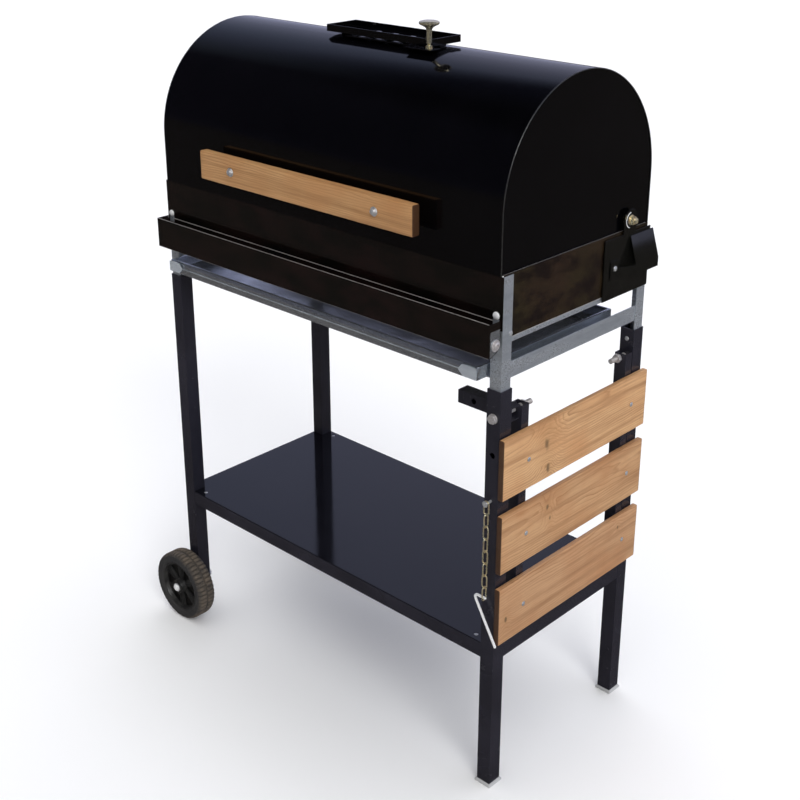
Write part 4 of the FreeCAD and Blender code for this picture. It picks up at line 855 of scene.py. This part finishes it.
def ash_tray():
    """Build the ash tray: pressed walls, a hem folded in, wrapped front corners."""
    low, high = box("ash_tray")
    middle, half = halved((low, high))
    tall = high.z - low.z
    profile = [(1.3, 0.0), (0.4, 0.35), (0.0, 1.3), (0.0, tall - 1.0), (0.25, tall - 0.3), (0.9, tall),
        (5.2, tall), (5.8, tall - 0.3), (6.0, tall - 0.9), (5.6, tall - 1.5), (2.0, tall - 1.7),
        (1.3, tall - 2.2), (1.2, tall - 3.2), (1.2, 2.6), (1.5, 1.6), (2.4, 1.2)]
    ridge, lean = tall * 0.52, 3.4
    shape, corners = Shape(), Shape()
    rings = []
    for inset, height in profile:
        back = lean * max(0.0, height - ridge) / (tall - ridge)
        outline = rounded_rectangle(half.x - inset, half.y - inset, 2.2, steps=3)
        rings.append([(middle.x + x, middle.y + y + (back if y < 9 - half.y else 0.0), low.z + height)
            for x, y in outline])
    shape.rings(rings)
    corners.wire((low.x + 30, low.y + 0.2, low.z + ridge), (high.x - 30, low.y + 0.2, low.z + ridge), 0.7, Y)
    outline = [(0.6, 1.0), (30.0, 1.0), (39.0, 9.0), (41.0, ridge), (33.0, tall - 1.6),
        (16.0, tall - 0.4), (0.6, tall - 1.6)]
    for side, sign in SIDES:
        corner = middle.x + sign * half.x
        corners.rings([[(corner - sign * (across + (ease if across > 1 else 0)), low.y + 0.1 - out,
            low.z + up + (ease if up < tall / 2 else -ease)) for across, up in outline]
            for out, ease in ((0.0, 0.25), (0.45, 0.0), (0.9, 0.35))])
    piece("ash_tray_pressed", shape, TRAY_STEEL, "ash_drawer", "galvanised", "ash_tray")
    piece("ash_tray_corners", corners, BRIGHT_STEEL, "ash_drawer", "galvanised")


def frame_fasteners():
    """Build the screws of the frame from the places of the CAD heads.

    A head is thin along the way that it faces. The long one carries the chain; the two that hold
    the front panel are domed, each over a tab."""
    bright, bolts, tabs = Shape(), Shape(), Shape()
    for low, high in solids("frame_screws"):
        middle, size = (low + high) / 2, high - low
        axis = min(range(3), key=lambda number: size[number])
        facing_way = (copysign(1, middle.x), -copysign(1, middle.y), 1)[axis]
        if size.y > 10:
            at = line_through((low, high), 1, -1)
            bright.rod(at(high.y), 2.5, size.y - 1.0, steps=24)
            bright.copy_of(crossed_head(size.x / 2, 2.5), at(low.y + 2.5))
        elif axis == 1 and low.y < box("front_panel")[0].y + 30 and middle.z > 900:
            dome(bolts, line_through((low, high), 1, -1)(high.y), size.x / 2, size.y)
            tabs.slab((middle.x - 6.5, high.y - 1.2, middle.z - 17.5),
                (middle.x + 6.5, high.y - 0.05, middle.z - 5.5), 0.4)
        else:
            crossed_screw(bright, (low, high), axis, facing_way)
    piece("frame_screw_heads", bright, ZINC, "stand", "zinc_bolt", "frame_screws")
    piece("front_dome_bolts", bolts, ZINC_WITH_PAINTED_HIGHLIGHT, "stand", "zinc_bolt")
    piece("front_bolt_tabs", tabs, GALVANISED, "stand", "galvanised")


# ---- side table ----

def table_bolts():
    """Build the pivot bolts through the right legs, with their nuts."""
    shape = Shape()
    for corners, sign, row in sided_solids("table_pivots", 1):
        inner, outer = ends(corners, 1, sign)
        face = ends(box("leg_%s_right" % row), 1, sign)[1]
        arm = ends(box("table_arm_" + row), 1, sign)[0] - sign * GAP
        at = line_through(corners, 1, sign)
        washer(shape, at(face), 9.4, 1.4)
        nut(shape, at(face + sign * 1.4), 15.8, abs(outer - face) - 1.4)
        shape.rod(at(face, -1), 4.97, abs(face - arm))
        nut(shape, at(arm, -1), 15.8, 7.8)
        thread(shape, at(arm, -1), 4.95, abs(arm - inner))
    piece("table_pivot_bolts", shape, DARK_BOLT, "stand", "zinc_bolt", "table_pivots")


def lock_chain():
    """Build the chain of long welded links."""
    count, wire, play = 8, 2.6, 0.3
    low, high = box("lock_chain")
    middle = (low + high) / 2
    wide = high.x - low.x
    pitch = (high.z - low.z - play - 2 * wire) / count
    bend = (wide - wire) / 2
    straight = pitch + play + 2 * wire - wide
    outline = arc(bend, 0, 180, 12) + [(x, y - straight) for x, y in arc(bend, 180, 360, 12)]
    weld = [(wire * 0.5, -1.6), (wire * 0.6, -0.7), (wire * 0.6, 0.7), (wire * 0.5, 1.6)]
    shape = Shape()
    for number in range(count):
        top = Vector((middle.x, middle.y, high.z - number * pitch - wide / 2))
        flat, side = (Y, X) if number % 2 == 0 else (X, Y)
        path = [top + side * across + Z * up for across, up in outline]
        shape.tube(path, wire / 2, flat, loop=True)
        shape.lathe(weld, facing(path[0] - Z * straight / 2, Z), steps=12)
    piece("lock_chain_links", shape, YELLOW_ZINC, "chain", "yellow_zinc", "lock_chain")


def lock_pin():
    """Bend the lock pin: a short arm through the last link, then the long shank."""
    low, high = box("lock_pin")
    radius, bend = 2.5, 5.5
    y = (low.y + high.y) / 2
    knee = Vector((low.x + radius, y, high.z - radius))
    tip = Vector((high.x - radius * 0.4, y, low.z + radius * 0.7))
    start = Vector((box("lock_chain")[0].x + 11.2, y, knee.z))
    into, away = (start - knee).normalized(), (tip - knee).normalized()
    half = into.angle(away) / 2
    reach = bend / tan(half)
    centre = knee + (into + away).normalized() * (bend / sin(half))
    first, last = knee + into * reach - centre, knee + away * reach - centre
    axis, swing = first.cross(last).normalized(), first.angle(last)
    path = [start, start.lerp(knee, 0.05)]
    path += [centre + Matrix.Rotation(swing * step / 10, 3, axis) @ first for step in range(11)]
    path += [tip.lerp(knee, 0.02), tip]
    shape = Shape()
    shape.tube(path, radius, Y, sides=20, taper=True)
    piece("lock_pin_bent", shape, ZINC_WITH_PAINTED_HIGHLIGHT, "pin", "zinc_bolt", "lock_pin")


# ---- feet and wheels ----

def foot_caps():
    """Build the caps under the right legs: a flared plate, a skirt and a ribbed plug."""
    profile = [(0.2, 0.0), (-2.4, 0.5), (-2.9, 1.2), (-2.9, 2.6), (-2.4, 3.4), (-0.4, 5.6), (0.6, 6.0),
        (3.0, 6.2), (3.0, 8.0), (3.4, 8.4), (3.0, 8.8), (3.0, 10.6), (3.4, 11.0), (3.0, 11.4),
        (3.0, 14.0), (4.0, 15.0)]
    shape = Shape()
    for low, high in solids("foot_caps"):
        middle, half = halved((low, high))
        shape.rings([[(middle.x + x, middle.y + y, low.z + height)
            for x, y in rounded_rectangle(half.x - inset, half.y - inset, 2.6)]
            for inset, height in profile])
    piece("foot_caps_moulded", shape, CAP_PLASTIC, "stand", "cap_plastic", "foot_caps")


def tyre(row, out):
    """Turn a solid rubber tyre, and cut the grooves of its tread."""
    low, high = box("tyre_" + row)
    wide = high.y - low.y
    outer = (high.z - low.z) / 2
    rim_low, rim_high = box("rim_" + row)
    inner = (rim_high.z - rim_low.z) / 2
    lugs, steps = 48, 288
    side = [(inner, 4.0, 0.0), (inner + 2.0, 1.6, 0.0), (inner + 4.0, 0.4, 0.0), (inner + 7.0, 0.0, 0.0),
        (inner + 7.6, 0.5, 0.0), (outer - 9.0, 0.4, 0.0), (outer - 6.5, 0.5, 0.2),
        (outer - 4.2, 1.6, 1.0), (outer - 2.4, 3.4, 1.0), (outer - 1.0, 6.0, 1.0),
        (outer - 0.3, 9.0, 1.0), (outer, 12.0, 1.0), (outer, wide / 2 - 3.4, 1.0),
        (outer - 0.4, wide / 2 - 2.6, 0.6), (outer - 2.6, wide / 2 - 1.6, 0.0)]
    profile = side + [(radius, wide - height, share) for radius, height, share in reversed(side)]

    def cut(number, step, radius):
        offset = 0 if number < len(side) else steps // lugs // 2
        in_groove = (step + offset) % (steps // lugs) in (0, 1)
        return radius - (2.4 * profile[number][2] if in_groove else 0.0)
    shape = Shape()
    shape.lathe([(radius, height) for radius, height, share in profile], start_of((low, high), 1, out),
        steps, change=cut, loop=True)
    piece("tyre_treaded_" + row, shape, TYRE_RUBBER, "wheel_" + row, "tyre_rubber", "tyre_" + row)


def rim(row, out):
    """Build a rim: a stepped barrel, six ribbed spokes and a hub with raised rings."""
    low, high = box("rim_" + row)
    edge, wide = (high.z - low.z) / 2, high.y - low.y
    place = start_of((low, high), 1, out)
    near, far, web = 6.3, wide - 6.0, RIM_WEB
    shape = Shape()
    barrel = [(edge, near), (edge, far), (edge - 1.0, far + 0.8), (edge - 2.4, far + 0.6),
        (edge - 3.6, far - 1.2), (edge - 4.4, far - 6.0), (edge - 5.2, web + 3.0),
        (edge - 6.2, web + 3.0), (edge - 6.2, web - 3.0), (edge - 5.0, near + 2.0), (edge - 2.5, near)]
    disc = [(16.5, web - 3.0), (edge - 6.0, web - 3.0), (edge - 6.0, web), (16.5, web)]
    hub = [(6.06, 0.2), (16.2, 0.2), (17.0, 1.0), (17.0, wide - 3.0), (16.4, wide - 1.8),
        (15.2, wide - 1.8), (14.6, wide - 2.6), (14.4, wide - 8.0), (10.8, wide - 8.0),
        (10.6, wide - 1.0), (10.2, wide - 0.1), (6.06, wide - 0.1)]
    for profile, steps in ((barrel, 96), (disc, 96), (hub, 64)):
        shape.lathe(profile, place, steps, loop=True)

    def rib(degrees, near_half, far_half, near_radius, far_radius, bottom, top):
        turn = place @ turned_about(degrees)
        rings = []
        for share in (0.0, 0.5, 1.0):
            half = near_half + (far_half - near_half) * share
            along = near_radius + (far_radius - near_radius) * share
            outline = [(-half, bottom), (half, bottom), (half, top - 0.4), (half - 0.4, top),
                (0.4 - half, top), (-half, top - 0.4)]
            rings.append([turn @ Vector((along, across, up)) for across, up in outline])
        shape.rings(rings)
    for spoke in range(30, 360, 60):
        rib(spoke, 6.2, 12.5, 16.0, edge - 6.2, web - 0.5, web + 2.9)
        for lean in (-9, 0, 9):
            rib(spoke + lean, 0.9, 0.9, 17.0, edge - 6.0, web + 2.0, web + 4.6)
    for tooth in range(0, 360, 30):
        rib(tooth, 0.8, 0.8, 10.4, 14.9, wide - 9.0, wide - 2.4)
    piece("rim_moulded_" + row, shape, RIM_PLASTIC, "wheel_" + row, "rim_plastic", "rim_" + row)


def axle_bolts():
    """Build each axle with its nut, spacer, washer and white dome head."""
    shape, heads = Shape(), Shape()
    for corners, out, row in sided_solids("wheel_axles", 1):
        inner, outer = ends(corners, 1, out)
        leg_in, leg_out = ends(box("leg_%s_left" % row), 1, out)
        hub_in, hub_out = ends(box("rim_" + row), 1, out)
        at = line_through(corners, 1, out)
        thread(shape, at(leg_in, -1), 5.9, abs(leg_in - inner), 1.5)
        nut(shape, at(leg_in, -1), 18.5, 8.0)
        shape.rod(at(leg_in), 5.98, abs(hub_out - leg_in) + 1.0)
        washer(shape, at(leg_out), 10.8, abs(hub_in - leg_out) - GAP)
        face = hub_out + out * GAP
        washer(shape, at(face), 10.2, 1.2)
        dome(heads, at(face + out * 1.2), 8.1, abs(outer - face) - 1.2, steps=10)
    piece("axle_bolts", shape, ZINC, "stand", "zinc_bolt", "wheel_axles")
    piece("axle_dome_heads", heads, ZINC_WITH_PAINTED_HIGHLIGHT, "stand", "zinc_bolt")


# ---- studio ----

def stage_drum(name, radius, bottom, top, closed, material):
    """Stand a wide drum round the origin, which shows in no reflection."""
    shape = Shape()
    outline = arc(radius, 0, 360, 64)[:-1]
    shape.rings([[(x, y, height) for x, y in outline] for height in (bottom, top)], ends=closed)
    drum = placed(name, shape.mesh(name))
    drum.data.materials.append(material)
    drum.visible_glossy = False
    return drum


def surroundings():
    """Lay a pale floor, and far off a pale wall that gives no light."""
    paint = Finish("floor_paper", (0.985, 0.985, 0.98), 0.9, gloss=0.1)
    paint.set("Roughness", paint.remap(paint.noise(4.0), 0.3, 0.7, 0.85, 0.95))
    stage_drum("floor", 60000, -20, 0, True, paint.material)
    paper = Finish("backdrop_paper", (0.0, 0.0, 0.0), 1.0, gloss=0.0)
    paper.set("Emission Strength", 1.0)
    paper.set("Emission Color", paper.ramp(paper.noise(0.05), (0.0, (0.96, 0.96, 0.97)),
        (1.0, (1.0, 1.0, 1.0))))
    wall = stage_drum("backdrop", 55000, -10, 45000, False, paper.material)
    wall.visible_diffuse = wall.visible_shadow = False


def studio_sky():
    """Surround the scene with a wide pale panel behind the object and dark elsewhere."""
    world = bpy.data.worlds.new("studio_sky")
    bpy.context.scene.world = world
    world.use_nodes = True
    sky = Nodes(world.node_tree)
    way = sky.add("SeparateXYZ", {0: sky.add("TexCoord", {}).outputs["Generated"]}).outputs
    back, up = (sky.remap(way[axis], -1.0, 1.0) for axis in ("Y", "Z"))
    panel = sky.ramp(back, (0.44, (0.03, 0.029, 0.046)), (0.5, (0.11, 0.13, 0.18)),
        (0.6, (0.19, 0.22, 0.34)), (0.7, (0.265, 0.305, 0.455)),
        (0.83, (0.4, 0.42, 0.6)), (1.0, (0.45, 0.46, 0.62)))
    reach = sky.ramp(up, (0.48, (0.0, 0.0, 0.0)), (0.5, (1.25, 1.25, 1.25)), (0.56, (1.0, 1.0, 1.0)),
        (0.82, (1.0, 1.0, 1.0)), (0.87, (0.12, 0.11, 0.13)), (1.0, (0.1, 0.1, 0.12)))
    below = sky.ramp(up, (0.0, (0.075, 0.066, 0.06)), (0.47, (0.075, 0.066, 0.06)), (0.51, (0.0, 0.0, 0.0)))
    whole = sky.blend(1.0, sky.blend(1.0, panel, reach, "MULTIPLY"), below, "ADD")
    sky.put(sky.tree.nodes["Background"].inputs["Color"], whole)


def soft_sun(name, towards, strength, spread, in_gloss):
    """Add a broad soft light from one direction."""
    light = bpy.data.lights.new(name, "SUN")
    light.energy = strength
    light.angle = radians(spread)
    lamp = placed(name, light)
    lamp.rotation_mode = "QUATERNION"
    lamp.rotation_quaternion = Vector(towards).to_track_quat("Z", "Y")
    lamp.visible_glossy = in_gloss


def camera():
    """Set the camera where the view of the real object fits the frame."""
    lens = bpy.data.cameras.new("camera")
    lens.lens = 58.88
    lens.sensor_width = 36.0
    lens.shift_y = -0.0916
    eye = placed("camera", lens)
    eye.location = (1.721, -1.7798, 1.7218)
    eye.rotation_euler = (radians(68.62), 0.0, radians(43.39))
    bpy.context.scene.camera = eye


finish_cad_nodes()
wooden_parts()
handle_fasteners()
lid_hems()
vent_knob()
crossed_screws("vent_screw_heads", "vent_screws", 2, "lid")
lid_hinge_bolts()
flap_bolts()
sheet_edges()
ash_tray()
frame_fasteners()
table_bolts()
crossed_screws("slat_screw_heads", "slat_screws", 0, "side_table")
lock_chain()
lock_pin()
foot_caps()
for row, out in (("front", -1), ("rear", 1)):
    tyre(row, out)
    rim(row, out)
axle_bolts()
surroundings()
studio_sky()
soft_sun("key_light", (0.72, -0.4, 0.56), 1.15, 28, True)
soft_sun("ceiling_light", (0.05, 0.05, 1.0), 2.35, 110, False)
soft_sun("back_light", (-0.5, 0.6, 0.5), 0.35, 60, False)
camera()
bpy.context.scene.view_settings.view_transform = "Standard"
